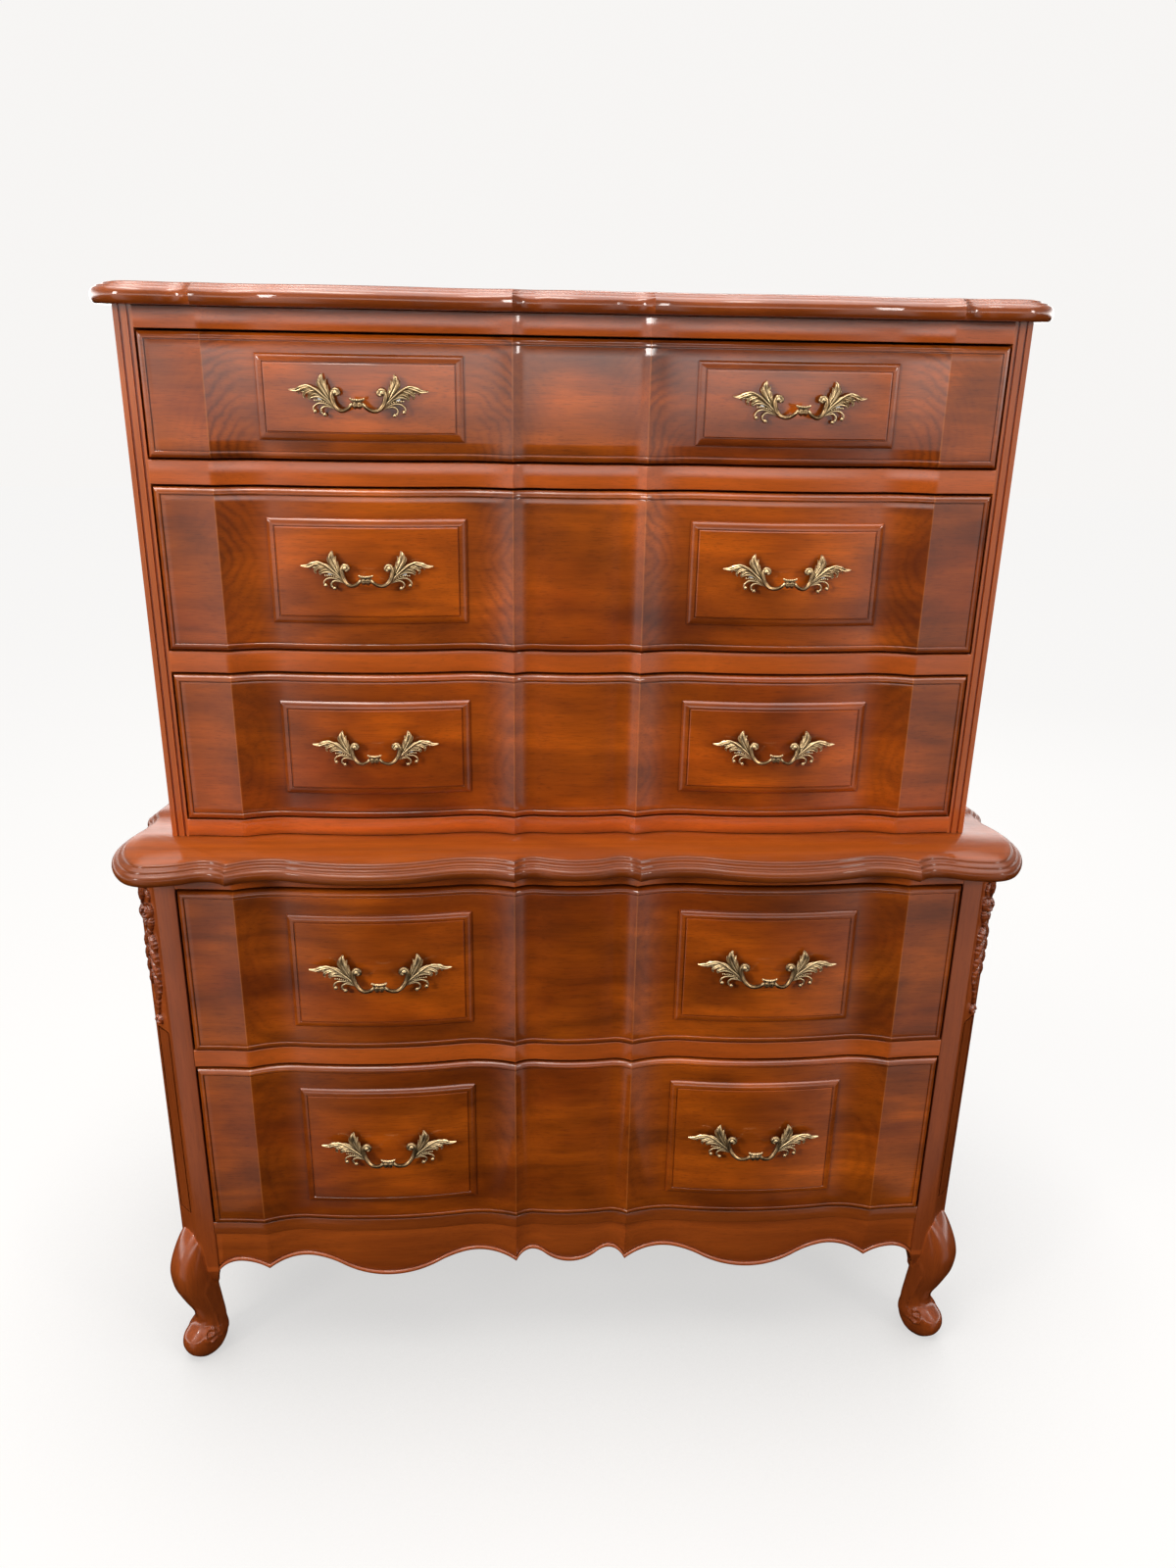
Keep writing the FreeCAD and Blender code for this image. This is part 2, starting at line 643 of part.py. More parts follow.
def rear_leg():
    """A square rear leg shaped in one plane, with the stile that it carries."""
    outer = halfLower - number("rearLegInset")
    inner = outer - number("rearLegWidth")
    knee, ankle, foot = number("kneeHeight"), number("ankleHeight"), number("footHeight")
    under, top = number("legHeight"), float(level["waistThickness"])
    bulge, thick = number("ankleRadius") / 2, 2 * number("ankleRadius")
    low = under - number("apronEnd")
    outside = (ease((0, outer), (foot, outer + bulge))
               + ease((foot, outer + bulge), (ankle, outer - bulge))
               + ease((ankle, outer - bulge), (knee, outer + bulge))
               + ease((knee, outer + bulge), (under, outer)))
    inside = (ease((0, outer - thick + bulge), (ankle, outer - bulge - thick))
              + ease((ankle, outer - bulge - thick), (low, inner)))
    edges = line_edges(outside + inside, lambda height, x: Vector(x, float(back), height))
    stile = float(lowerSideInner)
    corners = [(inner, low), (inner, under), (stile, under), (stile, top), (outer, top),
               (outer, under)]
    sole = [(outer, 0), (outer - thick + bulge, 0)]
    for outline in (corners, sole):
        edges += straight_edges([Vector(x, float(back), z) for x, z in outline])
    outline = Part.Wire(Part.__sortEdges__(edges))
    return Part.Face(outline).extrude(Vector(0, -number("rearLegDepth"), 0))


rightRear = shaped_piece("rear_leg_right", rear_leg())
keep(mirrored(rightRear), "rear_leg_left")
keep(board((-lowerSideInner, backPanelFront, level["bottomRail"]),
           (lowerSideInner, back, level["waistThickness"])), "lower_back_panel")


# ---- drawer runners ---------------------------------------------------------------------

def drawer_runner(name, case, storey):
    """An L-shaped runner with its guide rib, and a stop block at the rear."""
    boxEdge = case.opening - size("boxInset")
    guide = boxEdge + size("guideClearance")
    under = level[storey] - size("runnerThickness")
    rib = level[storey] + size("guideHeight")
    corners = [(boxEdge - size("runnerShelf"), under), (case.sideInner, under),
               (case.sideInner, rib), (guide, rib), (guide, level[storey]),
               (boxEdge - size("runnerShelf"), level[storey])]
    length = backPanelFront - case.front - size("railDepth")
    rail = padded_outline(name, "XZ_Plane", corners, -backPanelFront, length)
    stop = board((boxEdge - size("runnerShelf"), backPanelFront - size("stopThickness"),
                  level[storey]),
                 (guide, backPanelFront, level[storey] + size("stopHeight")))
    runner = doc.addObject("Part::MultiFuse", f"{name}_stopped")
    runner.Shapes = [rail, stop]
    return runner


def runner_group(label, case, storeys):
    members = []
    for storey in storeys:
        runner = drawer_runner(f"runner_{storey}", case, storey)
        members += [runner, mirrored(runner)]
    return grouped(label, members)


runner_group("upper_drawer_runners", upper, ["openingOne", "openingTwo", "openingThree"])
runner_group("lower_drawer_runners", lower, ["openingFour", "openingFive"])


# ---- drawers ----------------------------------------------------------------------------

panelCentre = number("panelInner") + number("panelWidth") / 2
boltPlaces = [side * panelCentre + hand * number("boltSpacing") / 2
              for side in (-1, 1) for hand in (-1, 1)]


def moulded_block(case, ends, heights, profile, rear):
    """A block with a serpentine front whose edges rise by the (inset, lift) profile."""
    foremost = float(case.front) - number("waveReach")
    start, end = ends
    deepest = profile[-1][0]
    field = cut_line(front_line(case), start + deepest, end - deepest)

    def section(lift, height):
        def on_profile(place, raised):
            depth = wave_depth(case, place) - min(raised, lift)
            return Vector(place, foremost + depth, height)

        def on_field(place, depth):
            return Vector(place, foremost + depth - lift, height)

        left = [on_profile(start + inset, raised) for inset, raised in profile]
        right = [on_profile(end - inset, raised) for inset, raised in reversed(profile)]
        right += [Vector(end, rear, height), Vector(start, rear, height), left[0]]
        return Part.Wire(straight_edges(left) + line_edges(field, on_field)
                         + straight_edges(right))

    base, top = heights
    sections = [section(lift, base + inset) for inset, lift in profile]
    sections += [section(lift, top - inset) for inset, lift in reversed(profile)]
    return Part.makeLoft(sections, True, True)


def raised_panel(case, side, base, height):
    """A panel that follows the serpentine, bevelled round its front."""
    field = number("fieldProud")
    profile = [(0, field + number("panelProud") - number("bevelDepth")),
               (number("panelBevel"), field + number("panelProud"))]
    ends = [side * panelCentre + hand * number("panelWidth") / 2 for hand in (-1, 1)]
    rear = float(case.front) + number("frontThickness") / 2
    return moulded_block(case, ends, (base, base + height), profile, rear)


def bolt_prisms(radius, sides, start, end, height):
    """Four prisms along Y, one at each bolt place, from start back to end."""
    return [disc(Vector(x, end, height), radius, sides, end - start) for x in boltPlaces]


def drawer_front(case, storey, margin):
    """The serpentine front with its moulded lip and two raised panels, drilled for bolts."""
    gap, lip, proud = number("drawerGap"), number("lipWidth"), number("fieldProud")
    base, opening = float(level[storey]) + gap, number(storey)
    rear = float(case.front) + number("frontThickness")
    half = float(case.opening) - gap
    profile = [(0, -number("edgeRound")), (lip, proud)]
    front = moulded_block(case, (-half, half), (base, base + opening - 2 * gap), profile, rear)
    panels = [raised_panel(case, side, float(level[storey]) + margin, opening - 2 * margin)
              for side in (-1, 1)]
    middle = float(level[storey]) + opening / 2
    past = number("drillPast")
    reach = number("waveReach") + proud + number("panelProud") + past
    holes = bolt_prisms(number("boltRadius") + number("fitClearance"), 6,
                        float(case.front) - reach, rear + past, middle)
    return front.fuse(panels).cut(holes).removeSplitter()


def leaf(length, width, angle):
    """A flat pointed leaf that starts at the origin and points along angle in the XZ plane."""
    turn = math.radians(angle)
    along = Vector(math.cos(turn), 0, math.sin(turn))
    across = Vector(-along.z, 0, along.x)
    half = [(0, 0.2), (0.4, 0.5), (1, 0)]
    outline = half + [(reach, -spread) for reach, spread in reversed(half[:-1])]
    corners = [along * (length * reach) + across * (width * spread)
               for reach, spread in outline]
    return prism(corners, Vector(0, -number("leafThickness"), 0))


def pull_end(width):
    """One end of a pull, at the origin of its bolt: a boss under a spray of leaves."""
    reach = (width - number("boltSpacing")) / 2
    broad = number("leafWidth")
    leaves = [leaf(reach, broad, 12), leaf(0.7 * reach, 0.8 * broad, 70),
              leaf(0.6 * reach, 0.7 * broad, -36), leaf(0.6 * reach, 0.6 * broad, -75),
              leaf(0.5 * reach, 0.6 * broad, 145)]
    for blade in leaves:
        blade.translate(Vector(0, -number("pullStand"), 0))
    stand = number("pullStand") + number("leafThickness")
    boss = disc(Vector(0, 0, 0), number("bossRadius"), 6, stand)
    return boss.fuse(leaves).removeSplitter()


def pull_grip():
    """The sagging hexagonal grip from boss to boss, with a turned knop at its middle."""
    half = number("boltSpacing") / 2
    start = number("pullStand") + number("leafThickness") / 2
    reach, sag = number("gripReach") - start, number("gripSag")
    normal = Vector(0, sag, -reach).normalize()
    rings = []
    for step in range(-3, 4):
        turn = math.radians(30 * step)
        centre = Vector(half * math.sin(turn), -start - reach * math.cos(turn),
                        -sag * math.cos(turn))
        tangent = Vector(half * math.cos(turn), reach * math.sin(turn),
                         sag * math.sin(turn)).normalize()
        radius = number("gripRadius")
        rings.append(closed_wire(ring_points(centre, normal * radius,
                                             tangent.cross(normal) * radius, 6)))
    middle = Vector(0, -start - reach, -sag)
    knop = []
    for place, share in ((-0.5, 0.55), (-0.3, 0.9), (0, 1), (0.3, 0.9), (0.5, 0.55)):
        centre = middle + Vector(place * number("knopLength"), 0, 0)
        radius = share * number("knopRadius")
        knop.append(closed_wire(ring_points(centre, Vector(0, radius, 0), Vector(0, 0, radius),
                                            6)))
    return Part.makeLoft(rings, True, True).fuse(Part.makeLoft(knop, True, True))


def cast_pull(case, side, width, height):
    """A cast pull: a sagging grip between two leaf sprays, seated on its raised panel."""
    half = number("boltSpacing") / 2
    right = pull_end(width)
    left = right.mirror(Vector(0, 0, 0), Vector(1, 0, 0))
    right.translate(Vector(half, 0, 0))
    left.translate(Vector(-half, 0, 0))
    pull = pull_grip().fuse([right, left])
    near = wave_depth(case, panelCentre - half)
    slope = (wave_depth(case, panelCentre + half) - near) / (2 * half)
    pull.rotate(Vector(0, 0, 0), Vector(0, 0, 1), side * math.degrees(math.atan(slope)))
    boss = number("bossRadius")
    edges = [centre + hand * boss for centre in (-half, half) for hand in (-1, 0, 1)]
    seat = min(wave_depth(case, panelCentre + edge) - slope * edge for edge in edges)
    pull.translate(Vector(side * panelCentre, panel_front(case) + seat - number("fitClearance"),
                          height))
    return pull.removeSplitter()


def panel_front(case):
    """The foremost line that the panels' serpentine reaches."""
    return (float(case.front) - number("waveReach") - number("fieldProud")
            - number("panelProud"))


def bolt_tip(case):
    return panel_front(case) + wave_depth(case, panelCentre) - number("pullStand")


def drawer_pulls(case, width, height):
    """Both pulls of a drawer, each drilled for its two bolts."""
    drills = bolt_prisms(number("boltRadius") + number("fitClearance"), 6, bolt_tip(case),
                         float(case.front) + number("frontThickness"), height)
    return Part.Compound([cast_pull(case, side, width, height).cut(drills)
                          for side in (-1, 1)])


def pull_bolts(case, height):
    """The bolts of both pulls, their heads behind the drawer front."""
    rear = float(case.front) + number("frontThickness")
    shanks = bolt_prisms(number("boltRadius"), 6, bolt_tip(case) + number("fitClearance"),
                         rear, height)
    heads = bolt_prisms(number("boltHeadRadius"), 6, rear, rear + number("boltHeadHeight"),
                        height)
    return Part.Compound([shank.fuse(head) for shank, head in zip(shanks, heads)])


def drawer_box(name, case, storey):
    """Sides, back and bottom of a drawer, behind its front."""
    frontRear = case.front + size("frontThickness")
    rear = backPanelFront - size("stopThickness") - size("runClearance")
    outer = case.opening - size("boxInset")
    inner = outer - size("drawerSide")
    groove = inner + size("grooveDepth")
    foot = level[storey] + size("runClearance")
    top = level[storey] + size(storey) - size("boxDrop")
    slot = foot + size("bottomRise")
    slotTop = slot + size("bottomThickness") + size("fitClearance") * 2
    corners = [(inner, foot), (outer, foot), (outer, top), (inner, top), (inner, slotTop),
               (groove, slotTop), (groove, slot), (inner, slot)]
    side = padded_outline(f"{name}_side", "XZ_Plane", corners, -rear, rear - frontRear)
    keep(side, f"{name}_side_right")
    keep(mirrored(side), f"{name}_side_left")
    bottomTop = slotTop - size("fitClearance")
    keep(board((-inner, rear - size("drawerSide"), bottomTop), (inner, rear, top)),
         f"{name}_back")
    edge = groove - size("fitClearance")
    keep(board((-edge, frontRear, slot + size("fitClearance")), (edge, rear, bottomTop)),
         f"{name}_bottom")


def drawer(order, case, storey, margin, pullWidth):
    name = f"drawer_{order}"
    shaped_piece(f"{name}_front", drawer_front(case, storey, margin))
    drawer_box(name, case, storey)
    middle = float(level[storey]) + number(storey) / 2
    shaped_piece(f"{name}_pulls", drawer_pulls(case, pullWidth, middle))
    shaped_piece(f"{name}_pull_bolts", pull_bolts(case, middle))


upperPull, lowerPull = number("upperPullWidth"), number("lowerPullWidth")
drawer(1, upper, "openingOne", number("topPanelMargin"), upperPull)
drawer(2, upper, "openingTwo", number("panelMargin"), upperPull)
drawer(3, upper, "openingThree", number("panelMargin"), upperPull)
drawer(4, lower, "openingFour", number("panelMargin"), lowerPull)
drawer(5, lower, "openingFive", number("panelMargin"), lowerPull)


# ---- checks and files -------------------------------------------------------------------

doc.recompute()
failed = [item.Name for item in doc.Objects if {"Invalid", "Error"} & set(item.State)]
if failed:
    raise RuntimeError(f"objects that did not compute: {failed}")
for piece in pieces:
    shape = piece.Shape
    if shape.isNull() or not shape.isValid() or not shape.Solids:
        raise RuntimeError(f"{piece.Label} has no sound solid")
    shape.exportStep(f"parts/{piece.Label}.step")
    print(f"{piece.Label}: {len(shape.Solids)} solid(s), {shape.Volume / 1000:.1f} cm3")
print(f"{len(pieces)} pieces written")
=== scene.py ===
import math
import bmesh
import bpy
from mathutils import Matrix, Vector


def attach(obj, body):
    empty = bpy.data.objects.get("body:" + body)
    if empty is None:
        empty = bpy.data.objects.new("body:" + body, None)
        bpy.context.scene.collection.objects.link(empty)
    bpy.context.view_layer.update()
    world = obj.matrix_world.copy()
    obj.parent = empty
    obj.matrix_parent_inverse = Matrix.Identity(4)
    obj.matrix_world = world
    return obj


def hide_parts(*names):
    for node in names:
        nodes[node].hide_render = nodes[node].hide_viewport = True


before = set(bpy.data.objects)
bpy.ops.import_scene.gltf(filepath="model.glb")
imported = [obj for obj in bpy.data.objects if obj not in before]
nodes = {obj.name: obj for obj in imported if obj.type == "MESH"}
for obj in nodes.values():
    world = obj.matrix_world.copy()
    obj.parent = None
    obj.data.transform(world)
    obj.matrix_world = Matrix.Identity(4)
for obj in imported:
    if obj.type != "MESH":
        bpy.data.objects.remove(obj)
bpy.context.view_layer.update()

# The highboy's looks, in metres: an upper case of three drawers on a lower case of two.
cases = {
    "upper": {"front": -0.163, "opening": 0.430, "outerCusp": 0.367, "half": 0.448},
    "lower": {"front": -0.215, "opening": 0.436, "outerCusp": 0.373, "half": 0.483},
}
backLine = 0.254
waves = {
    "hollowShare": 0.3, "swellShare": 0.52, "innerCusp": 0.068, "postReach": 0.004,
    "front": (0.006, 0.0095, 0.003, 0.0115, 0.0035, 0.009, 0.0005),
    "slab": (0.008, 0.018, 0.006, 0.017, 0.0, 0.015, 0.001),
    "apron": (0.058, 0.040, 0.053, 0.041, 0.070, 0.041, 0.053),
}


# A serpentine line is a list of arcs: start, end, centre, level of the centre, radius, side.
def radiusThrough(point, vertex):
    run, rise = point[0] - vertex[0], abs(point[1] - vertex[1])
    return (run ** 2 + rise ** 2) / (2 * rise)


def sortedArcs(arcs):
    return sorted([(min(a, b), max(a, b), *rest) for a, b, *rest in arcs])


def dipArcs(crest, rest, hollow):
    way = 1 if hollow > crest[1] else -1
    lowest = (crest[0] + waves["hollowShare"] * (rest[0] - crest[0]), hollow)
    near = radiusThrough(crest, lowest)
    far = radiusThrough(rest, lowest) - near
    meeting = lowest[0] + (rest[0] - lowest[0]) * near / (near + far)
    return sortedArcs([(crest[0], meeting, lowest[0], hollow - way * near, near, way),
                       (meeting, rest[0], rest[0], rest[1] + way * far, far, -way)])


def archArcs(foot, crown, end):
    arcs = []
    for point in (foot, end):
        radius = radiusThrough(point, crown)
        arcs.append((point[0], crown[0], crown[0], crown[1] + radius, radius, -1))
    return sortedArcs(arcs)


def easeArcs(first, last):
    middle = ((first[0] + last[0]) / 2, (first[1] + last[1]) / 2)
    radius = radiusThrough(middle, first)
    way = 1 if last[1] > first[1] else -1
    return sortedArcs([(first[0], middle[0], first[0], first[1] + way * radius, radius, -way),
                       (middle[0], last[0], last[0], last[1] - way * radius, radius, way)])


def halfWave(outerCusp, depths):
    centre, centreHollow, innerCusp, innerHollow, swell, outerHollow, outerDepth = depths
    inner = waves["innerCusp"]
    crown = inner + waves["swellShare"] * (outerCusp - inner)
    return (dipArcs((inner, innerCusp), (0, centre), centreHollow)
            + dipArcs((inner, innerCusp), (crown, swell), innerHollow)
            + dipArcs((outerCusp, outerDepth), (crown, swell), outerHollow))


def wholeLine(half):
    return [(-b, -a, -c, d, r, s) for a, b, c, d, r, s in reversed(half)] + half


def frontLine(case):
    cusp = (case["outerCusp"], waves["front"][-1])
    post = (case["opening"], waves["postReach"])
    radius = radiusThrough(cusp, post)
    tail = (cusp[0], post[0], post[0], post[1] - radius, radius, 1)
    return wholeLine(halfWave(case["outerCusp"], waves["front"]) + [tail])


def frontPlane(case):
    return case["front"] - waves["postReach"]


def lineDepth(line, place):
    for start, end, centre, level, radius, side in line:
        if start - 1e-9 <= place <= end + 1e-9:
            return level + side * math.sqrt(max(radius ** 2 - (place - centre) ** 2, 0))
    raise ValueError(f"place {place} is off its line")


def linePlaces(line, step):
    places = []
    for start, end, *_ in line:
        count = max(1, math.ceil((end - start) / step))
        places += [start + (end - start) * part / count for part in range(count)]
    return places + [line[-1][1]]


def arcPoints(arc, count):
    start, end, centre, level, radius, side = arc
    first, last = [math.asin(max(-1, min(1, (place - centre) / radius))) for place in (start, end)]
    turns = [first + (last - first) * part / count for part in range(count)]
    return [(centre + radius * math.sin(turn), level + side * radius * math.cos(turn))
            for turn in turns]


# Node trees: a value goes to a socket as it is, and a socket is linked.
def plugIn(tree, node, values):
    for key, value in values.items():
        if isinstance(value, bpy.types.NodeSocket):
            tree.links.new(value, node.inputs[key])
        else:
            node.inputs[key].default_value = value


def addNode(tree, kind, inputs=None, **settings):
    node = tree.nodes.new(kind)
    for key, value in settings.items():
        setattr(node, key, value)
    plugIn(tree, node, inputs or {})
    return node


def mathNode(tree, operation, first, second=0.0):
    return addNode(tree, "ShaderNodeMath", {0: first, 1: second}, operation=operation).outputs[0]


def product(tree, first, *others):
    for other in others:
        first = mathNode(tree, "MULTIPLY", first, other)
    return first


def apart(tree, first, second):
    return mathNode(tree, "ABSOLUTE", mathNode(tree, "SUBTRACT", first, second))


def rangeNode(tree, value, low, high, start=0.0, end=1.0):
    return addNode(tree, "ShaderNodeMapRange", {"Value": value, "From Min": low, "From Max": high,
                                                "To Min": start, "To Max": end}).outputs[0]


def blendNode(tree, share, first, second):
    return addNode(tree, "ShaderNodeMix", {0: share, 2: first, 3: second},
                   data_type="FLOAT").outputs[0]


def mixNode(tree, share, first, second, blend="MIX"):
    return addNode(tree, "ShaderNodeMix", {0: share, 6: first, 7: second}, data_type="RGBA",
                   blend_type=blend).outputs[2]


def greyNode(tree, value):
    return addNode(tree, "ShaderNodeCombineColor", {0: value, 1: value, 2: value}).outputs[0]


def spotNode(tree, vector):
    return addNode(tree, "ShaderNodeSeparateXYZ", {0: vector}).outputs


def noiseNode(tree, vector, scale, detail=3.0, roughness=0.55, distortion=0.0):
    return addNode(tree, "ShaderNodeTexNoise",
                   {"Vector": vector, "Scale": scale, "Detail": detail, "Roughness": roughness,
                    "Distortion": distortion}).outputs["Fac"]


def stretchedNoise(tree, vector, stretch, detail, roughness, distortion=0.0, shift=(0, 0, 0)):
    place = addNode(tree, "ShaderNodeMapping",
                    {"Vector": vector, "Scale": stretch, "Location": shift}).outputs[0]
    return noiseNode(tree, place, 1.0, detail, roughness, distortion)


def recessNode(tree, reach, samples, inside=False):
    return addNode(tree, "ShaderNodeAmbientOcclusion", {"Distance": reach}, samples=samples,
                   inside=inside).outputs["AO"]


def bumpNode(tree, height, strength, distance):
    return addNode(tree, "ShaderNodeBump", {"Height": height, "Strength": strength,
                                            "Distance": distance}).outputs[0]


def objectPlace(tree):
    return addNode(tree, "ShaderNodeTexCoord").outputs["Object"]


def newGroup(name, inputs, outputs):
    # a socket's kind follows its value: four numbers are a colour, one a number, none a vector
    group = bpy.data.node_groups.new(name, "ShaderNodeTree")
    for way, sockets in (("INPUT", inputs), ("OUTPUT", outputs)):
        for label, value in sockets.items():
            kind = "Vector" if value is None else "Color" if isinstance(value, tuple) else "Float"
            socket = group.interface.new_socket(label, in_out=way, socket_type=f"NodeSocket{kind}")
            if value is not None and way == "INPUT":
                socket.default_value = value
    return group, group.nodes.new("NodeGroupInput"), group.nodes.new("NodeGroupOutput")


black = (0, 0, 0, 1)

# Wood with its grain along the vector's X: broad flames, growth rings, streaks and short pores.
grainLook = {
    "figureStretch": (1.6, 9.0, 9.0), "flameStretch": (4.5, 10.0, 10.0),
    "flameShift": (2.0, 5.0, 1.0), "poreStretch": (55.0, 900.0, 900.0),
    "streakStretch": (9.0, 190.0, 190.0), "flameRange": (0.32, 0.66), "poreRange": (0.52, 0.72),
    "streakRange": (0.38, 0.68), "streakStrength": 0.22, "ringSharpness": 1.6,
    "poreDepth": 0.8, "ringDepth": 0.12, "poreRoughness": 0.5,
}


def makeGrainGroup():
    group, start, end = newGroup(
        "woodGrain",
        {"Vector": None, "Light": (0.6, 0.3, 0.1, 1), "Middle": (0.45, 0.2, 0.08, 1),
         "Dark": (0.2, 0.08, 0.03, 1), "Rings": 14.0, "Ring Strength": 0.35, "Flame": 0.5,
         "Pores": 0.35},
        {"Color": black, "Height": 0.0, "Roughness": 0.0})
    source, look = start.outputs, grainLook
    figure = stretchedNoise(group, source["Vector"], look["figureStretch"], 2.0, 0.45, 0.35)
    wave = mathNode(group, "SINE", product(group, figure, source["Rings"], 2 * math.pi))
    rings = mathNode(group, "POWER", rangeNode(group, wave, -1.0, 1.0), look["ringSharpness"])
    flames = stretchedNoise(group, source["Vector"], look["flameStretch"], 3.0, 0.55, 0.4,
                            look["flameShift"])
    poreNoise = stretchedNoise(group, source["Vector"], look["poreStretch"], 2.0, 0.6)
    streaks = stretchedNoise(group, source["Vector"], look["streakStretch"], 3.0, 0.6)
    pores = rangeNode(group, poreNoise, *look["poreRange"])
    tint = source["Light"]
    for mask, strength, deeper in (
            (rangeNode(group, flames, *look["flameRange"]), source["Flame"], "Middle"),
            (rings, source["Ring Strength"], "Dark"),
            (rangeNode(group, streaks, *look["streakRange"]), look["streakStrength"], "Dark"),
            (pores, source["Pores"], "Dark")):
        tint = mixNode(group, product(group, mask, strength), tint, source[deeper])
    height = mathNode(group, "SUBTRACT", 1.0, product(group, pores, look["poreDepth"]))
    height = mathNode(group, "SUBTRACT", height, product(group, rings, look["ringDepth"]))
    plugIn(group, end, {"Color": tint, "Height": height,
                        "Roughness": product(group, pores, look["poreRoughness"])})
    return group


# Dark glaze and painted shade in the recesses, and arrises rubbed lighter with a painted highlight.
glazeAndShadeLook = {"recess": (0.92, 0.35), "worn": (0.62, 0.3), "arrisReach": 0.0025, "cloud": 45.0,
             "patchy": (0.3, 0.7, 0.75, 1.0)}


def makeGlazeAndShadeGroup():
    group, start, end = newGroup(
        "recessGlazeAndShade",
        {"Color": (0.5, 0.3, 0.1, 1), "Glaze": (0.05, 0.015, 0.008, 1),
         "Rubbed And Lit": (0.8, 0.45, 0.2, 1), "Depth": 0.008, "Amount": 0.8, "Wear": 0.3},
        {"Color": black, "Recess": 0.0})
    source, look = start.outputs, glazeAndShadeLook
    cloud = noiseNode(group, objectPlace(group), look["cloud"], 3.0, 0.6)
    patchy = rangeNode(group, cloud, *look["patchy"])
    # painted shade: recesses found by ambient occlusion take the dark glaze colour
    recess = rangeNode(group, recessNode(group, source["Depth"], 6), *look["recess"])
    # painted highlight: convex arrises are lightened, as rubbed wear and as the light they catch
    worn = rangeNode(group, recessNode(group, look["arrisReach"], 4, True), *look["worn"])
    glazeAndShadeShare = product(group, recess, patchy, source["Amount"])
    rubAndHighlight = product(group, worn, patchy, source["Wear"])
    rubbedAndLit = mixNode(group, rubAndHighlight, source["Color"], source["Rubbed And Lit"])
    plugIn(group, end, {"Color": mixNode(group, glazeAndShadeShare, rubbedAndLit, source["Glaze"]),
                        "Recess": glazeAndShadeShare})
    return group


# The matched veneer of the fronts: rings about a point beside each cusp, the same on both its
# sides, a curl that ripples across the grain, and a paler sheet on the raised panels.
veneerLook = {
    "bend": 0.022, "bendScale": 26.0, "diamond": (0.9, 0.6), "lineSharpness": 1.7,
    "fade": (1.0, 0.15), "beyond": (0.0, 0.0006, 1.0, 0.25), "blotchScale": 11.0,
    "blotch": (0.3, 0.7, 0.5, 1.0), "curlStretch": (9.0, 9.0, 60.0), "curl": (0.3, 0.7, -1.0, 1.0),
    "panel": (0.0, 0.001, 1.0, 1.25), "patchStretch": (7.0, 7.0, 11.0),
    "patch": (0.36, 0.6, 0.64, 1.12), "rubbedAndLit": (0.0011, 0.0003, 0.0, 0.3),
}


def makeVeneerGroup():
    group, start, end = newGroup(
        "matchedVeneer",
        {"Vector": None, "Color": (0.5, 0.3, 0.1, 1), "Line": (0.1, 0.03, 0.01, 1),
         "Middle": 0.2175, "Run": 0.15, "Ring Place": 0.1, "Ring Height": 1.1, "Flatten": 0.8,
         "Diamond": 0.0, "Pitch": 0.008, "Reach": 0.055, "Strength": 0.5, "Curl": 0.3,
         "Half Width": 0.1, "Half Height": 0.05, "Panel Height": 1.0, "Inner Cusp": 0.068,
         "Outer Cusp": 0.37, "Arris": (0.7, 0.3, 0.1, 1)},
        {"Color": black})
    source, look = start.outputs, veneerLook
    spot = spotNode(group, source["Vector"])
    out = mathNode(group, "ABSOLUTE", spot["X"])
    aside = apart(group, out, source["Middle"])
    across = apart(group, aside, source["Ring Place"])
    low = product(group, apart(group, spot["Z"], source["Ring Height"]), source["Flatten"])
    circle = mathNode(group, "SQRT", mathNode(group, "ADD", product(group, across, across),
                                              product(group, low, low)))
    corner = mathNode(group, "ADD", product(group, across, look["diamond"][0]),
                      product(group, low, look["diamond"][1]))
    cloud = noiseNode(group, source["Vector"], look["bendScale"], 3.0, 0.55)
    bent = mathNode(group, "ADD", blendNode(group, source["Diamond"], circle, corner),
                    product(group, cloud, look["bend"]))
    turns = mathNode(group, "DIVIDE", product(group, bent, 2 * math.pi), source["Pitch"])
    wave = rangeNode(group, mathNode(group, "SINE", turns), -1.0, 1.0)
    lines = mathNode(group, "POWER", wave, look["lineSharpness"])
    away = mathNode(group, "SUBTRACT", aside, source["Run"])
    near = mathNode(group, "DIVIDE", mathNode(group, "ABSOLUTE", away), source["Reach"])
    blotchNoise = noiseNode(group, source["Vector"], look["blotchScale"], 2.0, 0.5)
    blotch = rangeNode(group, blotchNoise, *look["blotch"])
    share = product(group, lines, rangeNode(group, near, *look["fade"]),
                    rangeNode(group, away, *look["beyond"]), blotch, source["Strength"])
    lined = mixNode(group, share, source["Color"], source["Line"])
    ripple = stretchedNoise(group, source["Vector"], look["curlStretch"], 2.0, 0.5, 0.5)
    curl = product(group, rangeNode(group, ripple, *look["curl"]), source["Curl"])
    insideX = mathNode(group, "SUBTRACT", source["Half Width"], aside)
    insideZ = mathNode(group, "SUBTRACT", source["Half Height"],
                       apart(group, spot["Z"], source["Panel Height"]))
    panel = rangeNode(group, mathNode(group, "MINIMUM", insideX, insideZ), *look["panel"])
    clouds = stretchedNoise(group, source["Vector"], look["patchStretch"], 2.0, 0.5, 0.3)
    light = product(group, mathNode(group, "ADD", 1.0, curl), panel,
                    rangeNode(group, clouds, *look["patch"]))
    shaded = mixNode(group, 1.0, lined, greyNode(group, light), "MULTIPLY")
    # the arris of each cusp is rubbed lighter, and this also paints the thin highlight on its ridge
    gaps = [apart(group, out, source[key]) for key in ("Inner Cusp", "Outer Cusp")]
    rubbedAndLit = rangeNode(group, mathNode(group, "MINIMUM", *gaps), *look["rubbedAndLit"])
    plugIn(group, end, {"Color": mixNode(group, product(group, rubbedAndLit, blotch), shaded,
                                         source["Arris"])})
    return group


